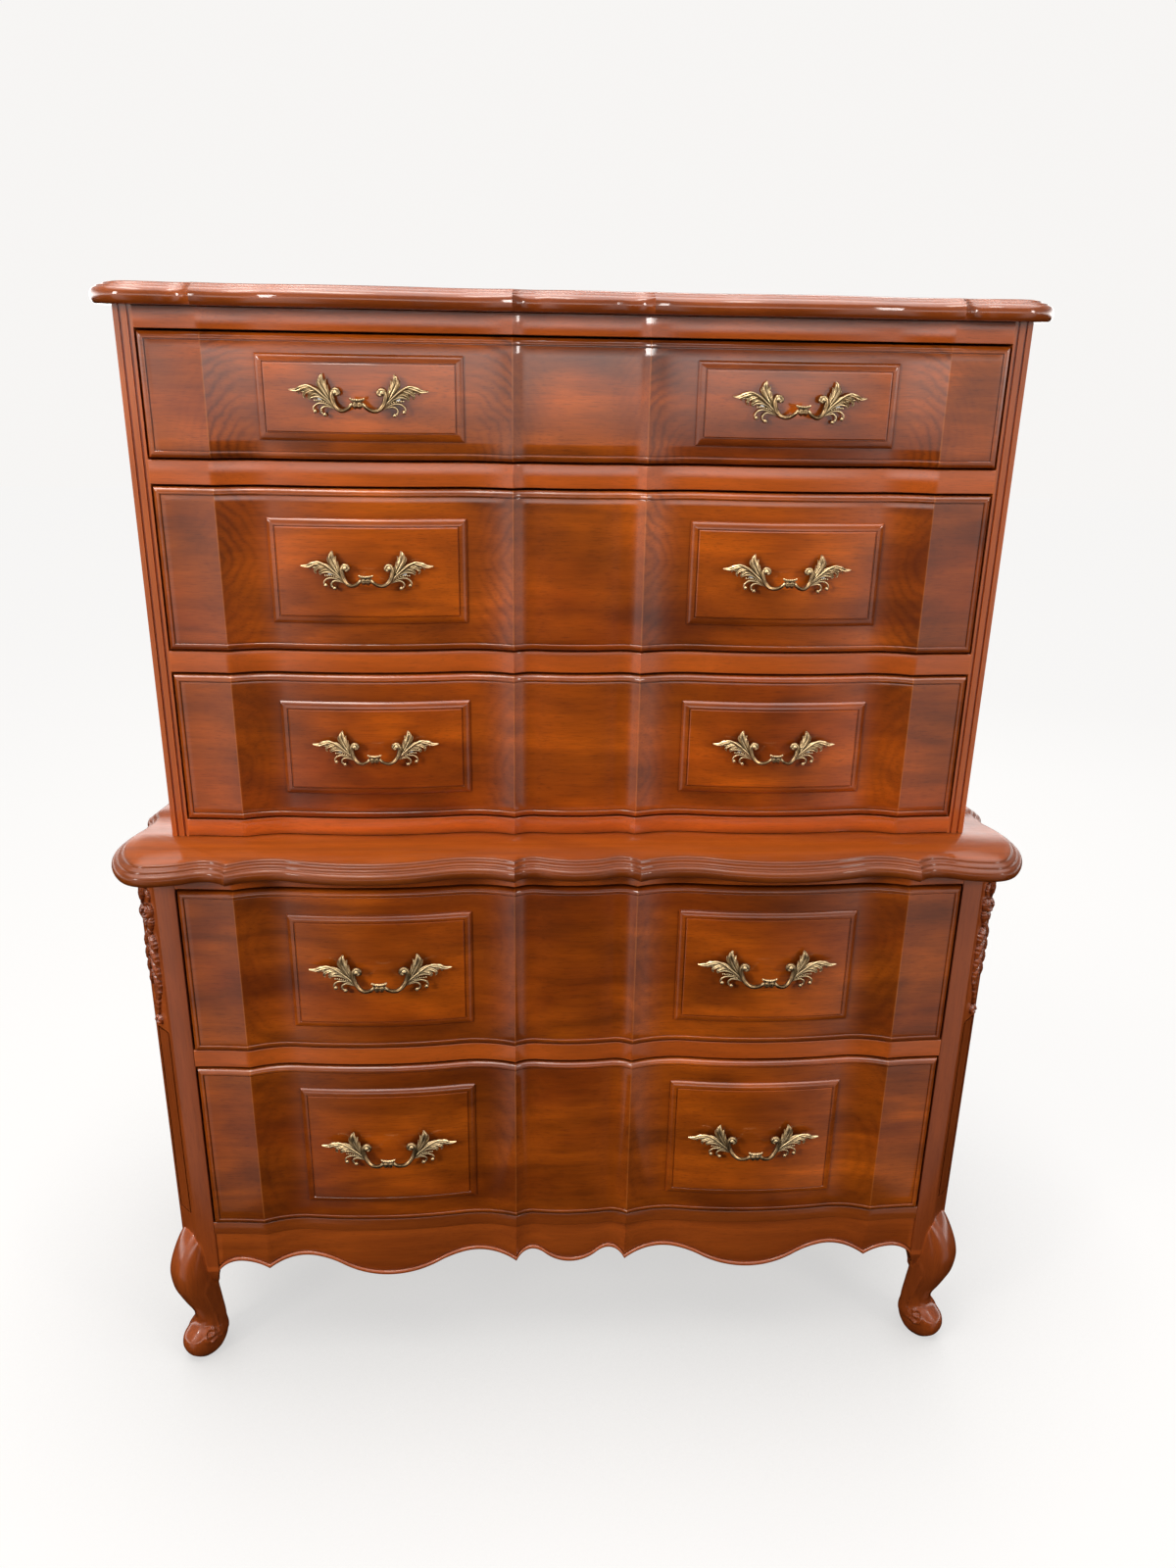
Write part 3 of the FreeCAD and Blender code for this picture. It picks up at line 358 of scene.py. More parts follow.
grainGroup, glazeAndShadeGroup, veneerGroup = makeGrainGroup(), makeGlazeAndShadeGroup(), makeVeneerGroup()
lacquered = {"rings": 7.0, "ringStrength": 0.22, "flame": 0.7, "pores": 0.3, "roughness": 0.42,
             "coat": 0.8, "coatRoughness": 0.10, "specular": 0.15, "glaze": 0.8,
             "glazeAndShadeDepth": 0.012, "wear": 0.45}
bare = {**lacquered, "flame": 0.6, "coat": 0.0, "coatRoughness": 0.3, "specular": 0.3, "wear": 0.1}
finishes = {
    "frontVeneer": {**lacquered, "light": (0.60, 0.122, 0.004), "middle": (0.30, 0.050, 0.002),
                    "dark": (0.07, 0.011, 0.001), "ringStrength": 0.28, "flame": 0.95,
                    "pores": 0.38, "coatRoughness": 0.08, "wear": 0.4},
    "caseWood": {**lacquered, "light": (0.56, 0.115, 0.012), "middle": (0.42, 0.078, 0.008),
                 "dark": (0.14, 0.024, 0.004)},
    "legWood": {**lacquered, "light": (0.43, 0.087, 0.012), "middle": (0.31, 0.058, 0.008),
                "dark": (0.11, 0.020, 0.004), "rings": 6.0, "ringStrength": 0.2, "flame": 0.8,
                "coatRoughness": 0.12, "glaze": 0.85, "glazeAndShadeDepth": 0.010, "wear": 0.5},
    "postWood": {**lacquered, "light": (0.60, 0.130, 0.016), "middle": (0.46, 0.090, 0.010),
                 "dark": (0.17, 0.030, 0.005), "rings": 6.0, "ringStrength": 0.16,
                 "pores": 0.25, "glaze": 0.2, "glazeAndShadeDepth": 0.002, "wear": 0.5},
    # painted light: the rail finish is the case wood made paler for the brighter light the rails
    # catch
    "railWood": {**lacquered, "light": (0.72, 0.145, 0.014), "middle": (0.54, 0.100, 0.010),
                 "dark": (0.17, 0.030, 0.005), "ringStrength": 0.2, "coatRoughness": 0.09,
                 "glaze": 0.75, "glazeAndShadeDepth": 0.010, "wear": 0.4},
    "slabWood": {**lacquered, "light": (0.38, 0.080, 0.008), "middle": (0.29, 0.054, 0.005),
                 "dark": (0.11, 0.018, 0.003), "coatRoughness": 0.08, "glaze": 0.85,
                 "glazeAndShadeDepth": 0.008, "wear": 0.2},
    "waistWood": {**lacquered, "light": (0.46, 0.098, 0.008), "middle": (0.35, 0.066, 0.005),
                  "dark": (0.11, 0.018, 0.003), "coat": 0.3, "coatRoughness": 0.08,
                  "glaze": 0.9, "glazeAndShadeDepth": 0.010, "wear": 0.15},
    "innerWood": {**bare, "light": (0.62, 0.45, 0.27), "middle": (0.52, 0.35, 0.20),
                  "dark": (0.33, 0.20, 0.10), "rings": 8.0, "ringStrength": 0.3,
                  "roughness": 0.62, "glaze": 0.35},
    "backWood": {**bare, "light": (0.33, 0.20, 0.12), "middle": (0.26, 0.15, 0.085),
                 "dark": (0.14, 0.075, 0.04), "rings": 5.0, "ringStrength": 0.35, "pores": 0.4,
                 "roughness": 0.75, "glaze": 0.3},
}
# what the finishes share: deeper and paler tones of a wood for its glaze, painted shade, wear and
# painted highlights, its gloss and the relief of its pores
woodLook = {"line": 0.8, "glaze": 0.35, "rubbedAndLit": 1.5, "arris": (0.85, 0.26, 0.05, 1),
            "smear": 14.0, "smooth": 0.05, "rough": 0.08, "poreRoughness": 0.2,
            "relief": (0.10, 0.0004), "shadeEdge": 0.0012}
# the way the boards run
turnFor = {"x": (0, 0, 0), "y": (0, 0, math.pi / 2), "z": (0, math.pi / 2, 0)}


def newMaterial(name):
    material = bpy.data.materials.new(name)
    material.use_nodes = True
    tree = material.node_tree
    return material, tree, tree.nodes["Principled BSDF"], objectPlace(tree)


def tone(colour, share=1):
    return (*[min(1, share * part) for part in colour], 1)


def woodMaterial(name, finish, grain, shift=(0, 0, 0), matched=None, shade=None):
    look = finishes[finish]
    material, tree, shader, place = newMaterial(name)
    turned = addNode(tree, "ShaderNodeMapping", {"Vector": place, "Rotation": turnFor[grain],
                                                 "Location": shift}).outputs[0]
    wood = addNode(tree, "ShaderNodeGroup",
                   {"Vector": turned, "Light": tone(look["light"]), "Middle": tone(look["middle"]),
                    "Dark": tone(look["dark"]), "Rings": look["rings"],
                    "Ring Strength": look["ringStrength"], "Flame": look["flame"],
                    "Pores": look["pores"]}, node_tree=grainGroup)
    tint = wood.outputs["Color"]
    if matched:
        tint = addNode(tree, "ShaderNodeGroup",
                       {"Vector": place, "Color": tint, "Arris": woodLook["arris"],
                        "Line": tone(look["dark"], woodLook["line"]), **matched},
                       node_tree=veneerGroup).outputs["Color"]
    if shade:
        # painted shade: a moulded edge below this level is darker than the tread above it
        level, share = shade
        paintedEdgeShade = rangeNode(tree, spotNode(tree, place)["Z"], level - woodLook["shadeEdge"], level,
                          share, 1.0)
        tint = mixNode(tree, 1.0, tint, greyNode(tree, paintedEdgeShade), "MULTIPLY")
    # glaze and painted shade in the recesses, wear and painted highlights on the arrises
    glaze = addNode(tree, "ShaderNodeGroup",
                    {"Color": tint, "Glaze": tone(look["dark"], woodLook["glaze"]),
                     "Rubbed And Lit": tone(look["light"], woodLook["rubbedAndLit"]),
                     "Depth": look["glazeAndShadeDepth"], "Amount": look["glaze"], "Wear": look["wear"]},
                    node_tree=glazeAndShadeGroup)
    smear = noiseNode(tree, turned, woodLook["smear"], 3.0, 0.6)
    gloss = rangeNode(tree, smear, 0.3, 0.7, look["roughness"] - woodLook["smooth"],
                      look["roughness"] + woodLook["rough"])
    dull = product(tree, wood.outputs["Roughness"], woodLook["poreRoughness"])
    plugIn(tree, shader, {
        "Base Color": glaze.outputs["Color"], "Roughness": mathNode(tree, "ADD", gloss, dull),
        "Specular IOR Level": look["specular"], "Coat Weight": look["coat"],
        "Coat Roughness": look["coatRoughness"],
        "Normal": bumpNode(tree, wood.outputs["Height"], *woodLook["relief"])})
    return material


brass = {"bright": (0.23, 0.146, 0.068, 1), "dark": (0.11, 0.070, 0.036, 1),
         "glaze": (0.022, 0.014, 0.008, 1), "rubbedAndLit": (0.78, 0.58, 0.32, 1), "depth": 0.006,
         "wear": 0.8, "patina": 160.0, "pits": 900.0, "relief": (0.15, 0.0003),
         "roughness": (0.30, 0.62), "metallic": 0.92}
steel = {"dark": (0.42, 0.43, 0.45, 1), "bright": (0.62, 0.62, 0.60, 1), "flakes": 420.0,
         "relief": (0.1, 0.0002), "roughness": (0.3, 0.45)}


def brassMaterial():
    material, tree, shader, place = newMaterial("antiqueBrass")
    patina = noiseNode(tree, place, brass["patina"], 4.0, 0.6)
    metal = mixNode(tree, rangeNode(tree, patina, 0.35, 0.65), brass["bright"], brass["dark"])
    # patina and painted shade in the hollows, rubbed and lit arrises
    glaze = addNode(tree, "ShaderNodeGroup",
                    {"Color": metal, "Glaze": brass["glaze"], "Rubbed And Lit": brass["rubbedAndLit"],
                     "Depth": brass["depth"], "Amount": 1.0, "Wear": brass["wear"]},
                    node_tree=glazeAndShadeGroup)
    pits = noiseNode(tree, place, brass["pits"], 2.0, 0.5)
    plugIn(tree, shader, {
        "Base Color": glaze.outputs["Color"], "Metallic": brass["metallic"],
        "Roughness": rangeNode(tree, glaze.outputs["Recess"], 0.0, 0.8, *brass["roughness"]),
        "Normal": bumpNode(tree, pits, *brass["relief"])})
    return material


def steelMaterial():
    material, tree, shader, place = newMaterial("zincSteel")
    flakes = noiseNode(tree, place, steel["flakes"], 3.0, 0.6)
    plugIn(tree, shader, {
        "Base Color": mixNode(tree, flakes, steel["dark"], steel["bright"]), "Metallic": 1.0,
        "Roughness": rangeNode(tree, flakes, 0.3, 0.7, *steel["roughness"]),
        "Normal": bumpNode(tree, flakes, *steel["relief"])})
    return material


caseAcross = woodMaterial("caseWoodAcross", "caseWood", "x")
railAcross = woodMaterial("railWoodAcross", "railWood", "x", (0.2, 0.6, 0.1))
slabAcross = woodMaterial("slabWoodAcross", "slabWood", "x", (0.6, 0.3, 0.4))
waistAcross = woodMaterial("waistWoodAcross", "waistWood", "x", (0.6, 0.3, 0.4),
                           shade=(0.7028, 0.6))
caseUpright = woodMaterial("caseWoodUpright", "caseWood", "z", (0.3, 0.1, 0.2))
legUpright = woodMaterial("legWoodUpright", "legWood", "z", (0.3, 0.7, 0.5))
postUpright = woodMaterial("postWoodUpright", "postWood", "z", (0.8, 0.5, 0.3))
innerBack = woodMaterial("innerWoodBack", "innerWood", "y")
innerAcross = woodMaterial("innerWoodAcross", "innerWood", "x", (0.2, 0.4, 0.1))
backBoard = woodMaterial("backBoardWood", "backWood", "z", (0.5, 0.2, 0.6))
antiqueBrass, zincSteel = brassMaterial(), steelMaterial()
print("materials made")


def linkObject(name, data):
    thing = bpy.data.objects.new(name, data)
    bpy.context.scene.collection.objects.link(thing)
    return thing


def makePiece(name, vertices, faces, material, body, replaced, sharp=32):
    mesh = bpy.data.meshes.new(name)
    mesh.from_pydata([tuple(vertex) for vertex in vertices], [], faces)
    shell = bmesh.new()
    shell.from_mesh(mesh)
    bmesh.ops.remove_doubles(shell, verts=shell.verts, dist=1e-6)
    bmesh.ops.recalc_face_normals(shell, faces=shell.faces)
    shell.to_mesh(mesh)
    shell.free()
    mesh.shade_smooth()
    mesh.set_sharp_from_angle(angle=math.radians(sharp))
    mesh.materials.append(material)
    piece = linkObject(name, mesh)
    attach(piece, body)
    if replaced:
        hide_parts(*replaced)
    return piece


def gridFaces(rows, columns, closed=False):
    faces = []
    span = columns if closed else columns - 1
    for row in range(rows - 1):
        for column in range(span):
            following = (column + 1) % columns
            faces.append((row * columns + column, row * columns + following,
                          (row + 1) * columns + following, (row + 1) * columns + column))
    return faces


# a tube of rows, each a closed ring, with both its ends capped
def tubeFaces(rows, columns):
    return gridFaces(rows, columns, closed=True) + [
        tuple(range(columns)), tuple(range((rows - 1) * columns, rows * columns))]


def evenSteps(first, last, count):
    return [first + (last - first) * part / count for part in range(count + 1)]


# Moulded slabs: a fat rounded nose, two small steps above it and an eased top arris.
slabs = {
    "waist": {"case": "lower", "half": 0.507, "reach": 0.039, "base": 0.681, "thickness": 0.022,
              "share": 1.0, "noseShare": 0.62},
    "top": {"case": "upper", "half": 0.476, "reach": 0.035, "base": 1.252, "thickness": 0.020,
            "share": 0.4, "noseShare": 0.76},
    "noseInset": 0.0052, "step": 0.0064, "earHollow": 0.012,
    "earFront": 0.0, "cornerRadius": 0.038, "earRadius": 0.099, "earPlace": 0.076,
    "notchPlace": 0.144, "sideCuspPlace": 0.168,
    "sideNotch": 0.014, "sideCusp": 0.0085, "sideHollow": 0.021, "sideEnd": 0.014,
    "fillet": 0.0004, "quirk": 0.0007, "stepRun": 0.0044, "stepEase": 0.0006,
}


def slabProfile(thickness, noseShare):
    nose, inset, fillet = noseShare * thickness, slabs["noseInset"], slabs["fillet"]
    points = [(inset * (1 - math.cos(turn)), nose * (1 + math.sin(turn)) / 2)
              for turn in evenSteps(-math.pi / 2, math.pi / 2, 12)]
    rise = (thickness - nose) / 2
    for order in range(2):
        back, up = inset + order * slabs["step"], nose + fillet + order * rise
        points += [(back + fillet, up), (back + slabs["quirk"], up + fillet)]
        points += [(back + 2 * fillet + slabs["stepRun"] * (1 - math.cos(turn)),
                    up + slabs["stepEase"] + (rise - 2 * slabs["quirk"]) * math.sin(turn))
                   for turn in evenSteps(0, math.pi / 2, 4)]
    points.append((points[-1][0] + slabs["stepEase"], thickness))
    return points


def slabRing(slab, inset, height):
    case = cases[slab["case"]]
    foremost, side = case["front"] - slab["reach"], slab["half"] - inset
    cornerRadius, earRadius = slabs["cornerRadius"] - inset, slabs["earRadius"] - inset
    earCentre = (side - earRadius, slabs["earPlace"] - inset)
    rise = earCentre[1] - slabs["earFront"] - cornerRadius
    run = math.sqrt((earRadius - cornerRadius) ** 2 - rise ** 2)
    level = (earCentre[0] + run, slabs["earFront"])
    reach = earRadius / (earRadius - cornerRadius)
    meeting = (earCentre[0] + run * reach, earCentre[1] - rise * reach)
    cusp = (case["outerCusp"], waves["slab"][-1])
    front = foremost + inset
    half = [(arc, max(4, math.ceil((arc[1] - arc[0]) / 0.006)))
            for arc in halfWave(case["outerCusp"], waves["slab"])]
    corner = [(arc, 8) for arc in dipArcs(cusp, level, slabs["earHollow"])]
    corner.append(((level[0], meeting[0], level[0], level[1] + cornerRadius, cornerRadius, -1), 10))
    right = []
    for arc, count in half + corner:
        right += [(place, front + depth) for place, depth in arcPoints(arc, count)]
    earMiddle = front + earCentre[1]
    earArc = (front + meeting[1], earMiddle, earMiddle, earRadius, earRadius, -1)
    ear, notch, sideCusp = [foremost + slabs[key]
                            for key in ("earPlace", "notchPlace", "sideCuspPlace")]
    notchDepth, cuspDepth, hollow, end = [slab["share"] * slabs[key] for key in
                                          ("sideNotch", "sideCusp", "sideHollow", "sideEnd")]
    flank = ([earArc] + easeArcs((ear, 0), (notch, notchDepth))
             + easeArcs((notch, notchDepth), (sideCusp, cuspDepth))
             + dipArcs((sideCusp, cuspDepth), (backLine, end), hollow))
    for arc in flank:
        right += [(side - depth, place) for place, depth in arcPoints(arc, 12)]
    right.append((side - end, backLine))
    left = [(-x, y) for x, y in reversed(right[1:])]
    return [(x, y, slab["base"] + height) for x, y in left + right]


def makeSlab(name, slab, node, wood):
    rings = [slabRing(slab, inset, height)
             for inset, height in slabProfile(slab["thickness"], slab["noseShare"])]
    vertices = [point for ring in rings for point in ring]
    return makePiece(name, vertices, tubeFaces(len(rings), len(rings[0])), wood, "carcass",
                     [node], 40)


makeSlab("waistSlab", slabs["waist"], "waist_slab", waistAcross)
makeSlab("topSlab", slabs["top"], "top_slab", slabAcross)
print("slabs made")


# Rails between the posts, their front arrises eased.
rails = {
    "depth": 0.060, "ease": 0.0011,
    "lower_bottom_rail": ("lower", 0.196, 0.213), "lower_middle_rail": ("lower", 0.436, 0.458),
    "lower_frieze_rail": ("lower", 0.662, 0.681), "upper_bottom_rail": ("upper", 0.703, 0.723),
    "upper_rail_below_drawer_2": ("upper", 0.891, 0.914),
    "upper_rail_below_drawer_1": ("upper", 1.085, 1.109),
    "upper_frieze_rail": ("upper", 1.231, 1.252),
}


def easedEdge(low, high, ease):
    turns = evenSteps(0, math.pi / 2, 4)
    lower = [(ease * (1 - math.sin(turn)), low + ease * (1 - math.cos(turn))) for turn in turns]
    upper = [(ease * (1 - math.cos(turn)), high - ease * (1 - math.sin(turn))) for turn in turns]
    return lower + upper


def makeRail(node):
    caseName, low, high = rails[node]
    case = cases[caseName]
    line = frontLine(case)
    places = linePlaces(line, 0.005)
    foremost = frontPlane(case)
    rear = case["front"] + rails["depth"]
    section = easedEdge(low, high, rails["ease"])
    vertices = []
    for place in places:
        depth = foremost + lineDepth(line, place)
        vertices += [(place, depth + back, height) for back, height in section]
        vertices += [(place, rear, high), (place, rear, low)]
    words = node.split("_")
    name = words[0] + "".join(word.capitalize() for word in words[1:])
    wood = slabAcross if node == "lower_bottom_rail" else railAcross
    return makePiece(name, vertices, tubeFaces(len(places), len(section) + 2), wood, "carcass",
                     [node], 40)


for node in rails:
    if node.endswith("rail") or "drawer" in node:
        makeRail(node)
print("rails made")


# Drawer fronts: a thumbnail lip round the field, and two raised panels with a cut line.
fronts = {
    "gap": 0.002, "thickness": 0.020, "field": 0.0034, "lip": 0.0058, "lipFall": 0.001,
    "lipCrown": 0.0043, "panelInner": 0.116, "panelWidth": 0.203, "panelMiddle": 0.2175,
    "panelProud": 0.0046, "border": 0.0074, "cut": 0.0008, "foot": 0.0004,
    # steps inwards from the lip: over its crown, down into the quirk and up to the field
    "crownSteps": ((0.0007, -0.0001), (0.0010, -0.0004)),
    "quirkSteps": ((0.0012, -0.0005), (0.0017, -0.0005), (0.0020, -0.0001), (0.0024, 0)),
    1: ("upper", 1.109, 0.122, 0.020), 2: ("upper", 0.914, 0.171, 0.031),
    3: ("upper", 0.723, 0.168, 0.031), 4: ("lower", 0.458, 0.204, 0.031),
    5: ("lower", 0.213, 0.223, 0.031),
}


def lipProfile():
    # a thumbnail that stands a little proud of the field, with a quirk inside it
    inset, crown, fall = fronts["lip"], fronts["lipCrown"], fronts["lipFall"]
    points = [(inset * (1 - math.cos(turn)), -fall + (crown + fall) * math.sin(turn))
              for turn in evenSteps(0, math.pi / 2, 8)]
    points += [(inset + back, crown + up) for back, up in fronts["crownSteps"]]
    return points + [(inset + back, fronts["field"] + up) for back, up in fronts["quirkSteps"]]


def panelProfile():
    border, proud, foot = fronts["border"], fronts["panelProud"], fronts["foot"]
    points = [(0, 0), (foot / 2, 0.0010)]
    points += [(foot + (border - foot) * (1 - math.cos(turn)) ** 0.8,
                0.0012 + (proud - 0.0016) * math.sin(turn))
               for turn in evenSteps(0, math.pi / 2, 5)]
    bottom = proud - fronts["cut"] - foot
    return points + [(border + 0.0005, bottom), (border + 0.0011, bottom),
                     (border + 0.0015, proud - foot), (border + 0.0022, proud)]


def profileLift(profile, inset):
    if inset >= profile[-1][0]:
        return profile[-1][1]
    for (start, low), (end, high) in zip(profile, profile[1:]):
        if inset <= end:
            return low + (high - low) * max(0, inset - start) / (end - start)
    return profile[-1][1]


def mergedLines(exact, loose, least):
    lines = list(exact)
    for place in loose:
        if exact[0] < place < exact[-1] and min(abs(place - other) for other in exact) > least:
            lines.append(place)
    return sorted(lines)


def drawerSurface(number):
    caseName, base, opening, margin = fronts[number]
    case = cases[caseName]
    line = frontLine(case)
    foremost = frontPlane(case)
    half = case["opening"] - fronts["gap"]
    low, high = base + fronts["gap"], base + opening - fronts["gap"]
    panelLow, panelHigh = base + margin, base + opening - margin
    inner, outer = fronts["panelInner"], fronts["panelInner"] + fronts["panelWidth"]
    lip, panel = lipProfile(), panelProfile()

    def lift(x, z):
        edge = min(half - abs(x), z - low, high - z)
        raised = profileLift(lip, max(0, edge))
        inside = min(abs(x) - inner, outer - abs(x), z - panelLow, panelHigh - z)
        if inside > -1e-7:
            raised += profileLift(panel, max(0, inside))
        return raised

    def point(x, z):
        return (x, foremost + lineDepth(line, x) - lift(x, z), z)

    exactX = {round(side * (half - inset), 7) for side in (-1, 1) for inset, raised in lip}
    exactX |= {round(side * place, 7) for side in (-1, 1) for inset, raised in panel
               for place in (inner + inset, outer - inset)}
    cusps = {round(side * place, 7) for side in (-1, 1)
             for place in (waves["innerCusp"], case["outerCusp"])}
    exactZ = {round(place, 7) for inset, raised in lip for place in (low + inset, high - inset)}
    exactZ |= {round(place, 7) for inset, raised in panel
               for place in (panelLow + inset, panelHigh - inset)}
    xs = mergedLines(sorted(exactX | cusps), linePlaces(line, 0.005), 0.0004)
    zs = mergedLines(sorted(exactZ), evenSteps(low, high, 12)[1:-1], 0.004)
    return xs, zs, point, lift


def makeFront(number, material):
    xs, zs, point, lift = drawerSurface(number)
    rear = cases[fronts[number][0]]["front"] + fronts["thickness"]
    vertices = [point(x, z) for z in zs for x in xs]
    across, up = len(xs), len(zs)
    faces = []
    for row in range(up - 1):
        for column in range(across - 1):
            a = row * across + column
            b, c, d = a + 1, a + across + 1, a + across
            lifts = [lift(xs[column], zs[row]), lift(xs[column + 1], zs[row]),
                     lift(xs[column + 1], zs[row + 1]), lift(xs[column], zs[row + 1])]
            if abs(lifts[0] + lifts[2] - lifts[1] - lifts[3]) < 1e-6:
                faces.append((a, b, c, d))
            elif abs(lifts[0] - lifts[2]) > abs(lifts[1] - lifts[3]):
                faces += [(a, b, c), (a, c, d)]
            else:
                faces += [(a, b, d), (b, c, d)]
    rim = (list(range(across)) + [row * across + across - 1 for row in range(1, up)]
           + [(up - 1) * across + column for column in range(across - 2, -1, -1)]
           + [row * across for row in range(up - 2, 0, -1)])
    start = len(vertices)
    vertices += [(vertices[index][0], rear, vertices[index][2]) for index in rim]
    for order, index in enumerate(rim):
        following = (order + 1) % len(rim)
        faces.append((index, rim[following], start + following, start + order))
    faces.append(tuple(range(start, start + len(rim))))
    return makePiece(f"drawerFront{number}", vertices, faces, material, f"drawer_{number}",
                     [f"drawer_{number}_front"], 26)


# how the veneer of each front is matched: where its rings lie, their size and their strength
veneers = {
    1: {"shift": (0.1, 0.0, 0.3), "ring": 0.098, "rise": 0.012, "Flatten": 0.9, "Diamond": 0.0,
        "Pitch": 0.0085, "Reach": 0.056, "Strength": 0.62, "Curl": 0.16},
    2: {"shift": (0.7, 0.2, 0.9), "ring": 0.150, "rise": 0.098, "Flatten": 0.8, "Diamond": 0.7,
        "Pitch": 0.0098, "Reach": 0.050, "Strength": 0.42, "Curl": 0.12},
    3: {"shift": (1.3, 0.1, 0.1), "ring": 0.146, "rise": 0.060, "Flatten": 0.5, "Diamond": 0.4,
        "Pitch": 0.0095, "Reach": 0.050, "Strength": 0.26, "Curl": 0.10},
    4: {"shift": (1.9, 0.4, 0.6), "ring": 0.110, "rise": 0.130, "Flatten": 0.6, "Diamond": 0.2,
        "Pitch": 0.0110, "Reach": 0.060, "Strength": 0.22, "Curl": 0.12},
    5: {"shift": (2.6, 0.3, 0.2), "ring": 0.120, "rise": 0.080, "Flatten": 0.5, "Diamond": 0.3,
        "Pitch": 0.0120, "Reach": 0.060, "Strength": 0.22, "Curl": 0.12},
}


def frontMaterial(number):
    caseName, base, opening, margin = fronts[number]
    outer = cases[caseName]["outerCusp"]
    matched = {key: value for key, value in veneers[number].items() if key[0].isupper()}
    matched.update({"Middle": fronts["panelMiddle"], "Run": (outer - waves["innerCusp"]) / 2,
                    "Ring Place": veneers[number]["ring"],
                    "Ring Height": base + veneers[number]["rise"],
                    "Half Width": fronts["panelWidth"] / 2 - fronts["border"],
                    "Half Height": opening / 2 - margin - fronts["border"],
                    "Panel Height": base + opening / 2, "Inner Cusp": waves["innerCusp"],
                    "Outer Cusp": outer})
    return woodMaterial(f"frontVeneer{number}", "frontVeneer", "x", veneers[number]["shift"],
                        matched)


for number in veneers:
    makeFront(number, frontMaterial(number))
print("drawer fronts made")


# The apron: a serpentine band whose scalloped lower edge carries a bead under a cut line.
apron = {"top": 0.196, "thickness": 0.020, "end": 0.058, "endArch": 0.043, "endArchShare": 0.55,
         "bead": 0.0056, "beadFlatten": 0.8, "beadBack": 0.006, "face": 0.0018, "cut": 0.0012,
         "arris": 0.0004}


def apronSection():
    radius, face, cut = apron["bead"] / 2, apron["face"], apron["cut"]
    points = [(apron["beadBack"], 0.0)]
    points += [(apron["beadFlatten"] * radius * (1 - math.cos(turn)), radius * (1 + math.sin(turn)))
               for turn in evenSteps(-math.pi / 2, math.pi / 2, 8)]
    return points + [(face + cut, 2 * radius + 0.0003), (face + cut, 2 * radius + 0.0009),
                     (face + 0.0003, 2 * radius + 0.0016), (face, 2 * radius + 0.0022)]


def makeApron():
    case, top, face, arris = cases["lower"], apron["top"], apron["face"], apron["arris"]
    line = frontLine(case)
    cusp = (case["outerCusp"], waves["apron"][-1])
    crown = cusp[0] + apron["endArchShare"] * (case["opening"] - cusp[0])
    tail = archArcs(cusp, (crown, apron["endArch"]), (case["opening"], apron["end"]))
    edge = wholeLine(halfWave(case["outerCusp"], waves["apron"]) + tail)
    places = sorted({round(place, 6) for place in linePlaces(edge, 0.004)})
    foremost, section = frontPlane(case), apronSection()
    rear = case["front"] + apron["thickness"]
    vertices = []
    for place in places:
        front = foremost + lineDepth(line, min(place, case["opening"]))
        low = top - lineDepth(edge, place)
        vertices += [(place, front + back, low + up) for back, up in section]
        vertices += [(place, front + face, top - arris), (place, front + face + arris, top),
                     (place, rear, top), (place, rear, low)]
    return makePiece("frontApron", vertices, tubeFaces(len(places), len(section) + 4), caseAcross,
                     "carcass", ["front_apron"], 34)


makeApron()
print("apron made")


# Curves through points: a Catmull-Rom line, and a swept section that can taper and flatten.
def smoothLine(points, share):
    points = [tuple(point) for point in points]
    padded = [points[0]] + points + [points[-1]]
    line = []
    for order in range(len(points) - 1):
        a, b, c, d = padded[order:order + 4]
        for part in range(share):
            t = part / share
            line.append(tuple(0.5 * (2 * q + (r - p) * t + (2 * p - 5 * q + 4 * r - s) * t ** 2
                                     + (3 * q - p - 3 * r + s) * t ** 3)
                              for p, q, r, s in zip(a, b, c, d)))
    return line + [points[-1]]


roundSection = [(math.cos(turn), math.sin(turn)) for turn in evenSteps(0, 2 * math.pi, 10)[:-1]]
leafSection = [(-1, 0), (-0.8, 0.62), (-0.45, 0.98), (-0.16, 0.78), (0, 0.38), (0.16, 0.78),
               (0.45, 0.98), (0.8, 0.62), (1, 0), (0.55, -0.5), (-0.55, -0.5)]


def sweptShape(points, section, share=4):
    # each point is x, y, z, half width across the face, half height off the face
    line = smoothLine(points, share)
    spine = [Vector(point[:3]) for point in line]
    vertices = []
    for order, point in enumerate(line):
        ahead = (spine[min(order + 1, len(spine) - 1)] - spine[max(order - 1, 0)]).normalized()
        off = Vector((0, -1, 0))
        across = ahead.cross(off)
        across = across.normalized() if across.length > 0.05 else Vector((0, 0, 1))
        off = across.cross(ahead).normalized()
        if off.y > 0:
            off = -off
        wide, thick = max(point[3], 1e-4), max(point[4], 1e-4)
        vertices += [spine[order] + across * (b * wide) + off * (h * thick) for b, h in section]
    count = len(section)
    faces = gridFaces(len(line), count, closed=True)
    start = len(vertices)
    vertices += [spine[0], spine[-1]]
    for k in range(count):
        faces.append((k, (k + 1) % count, start))
        base = (len(line) - 1) * count
        faces.append((base + (k + 1) % count, base + k, start + 1))
    return vertices, faces


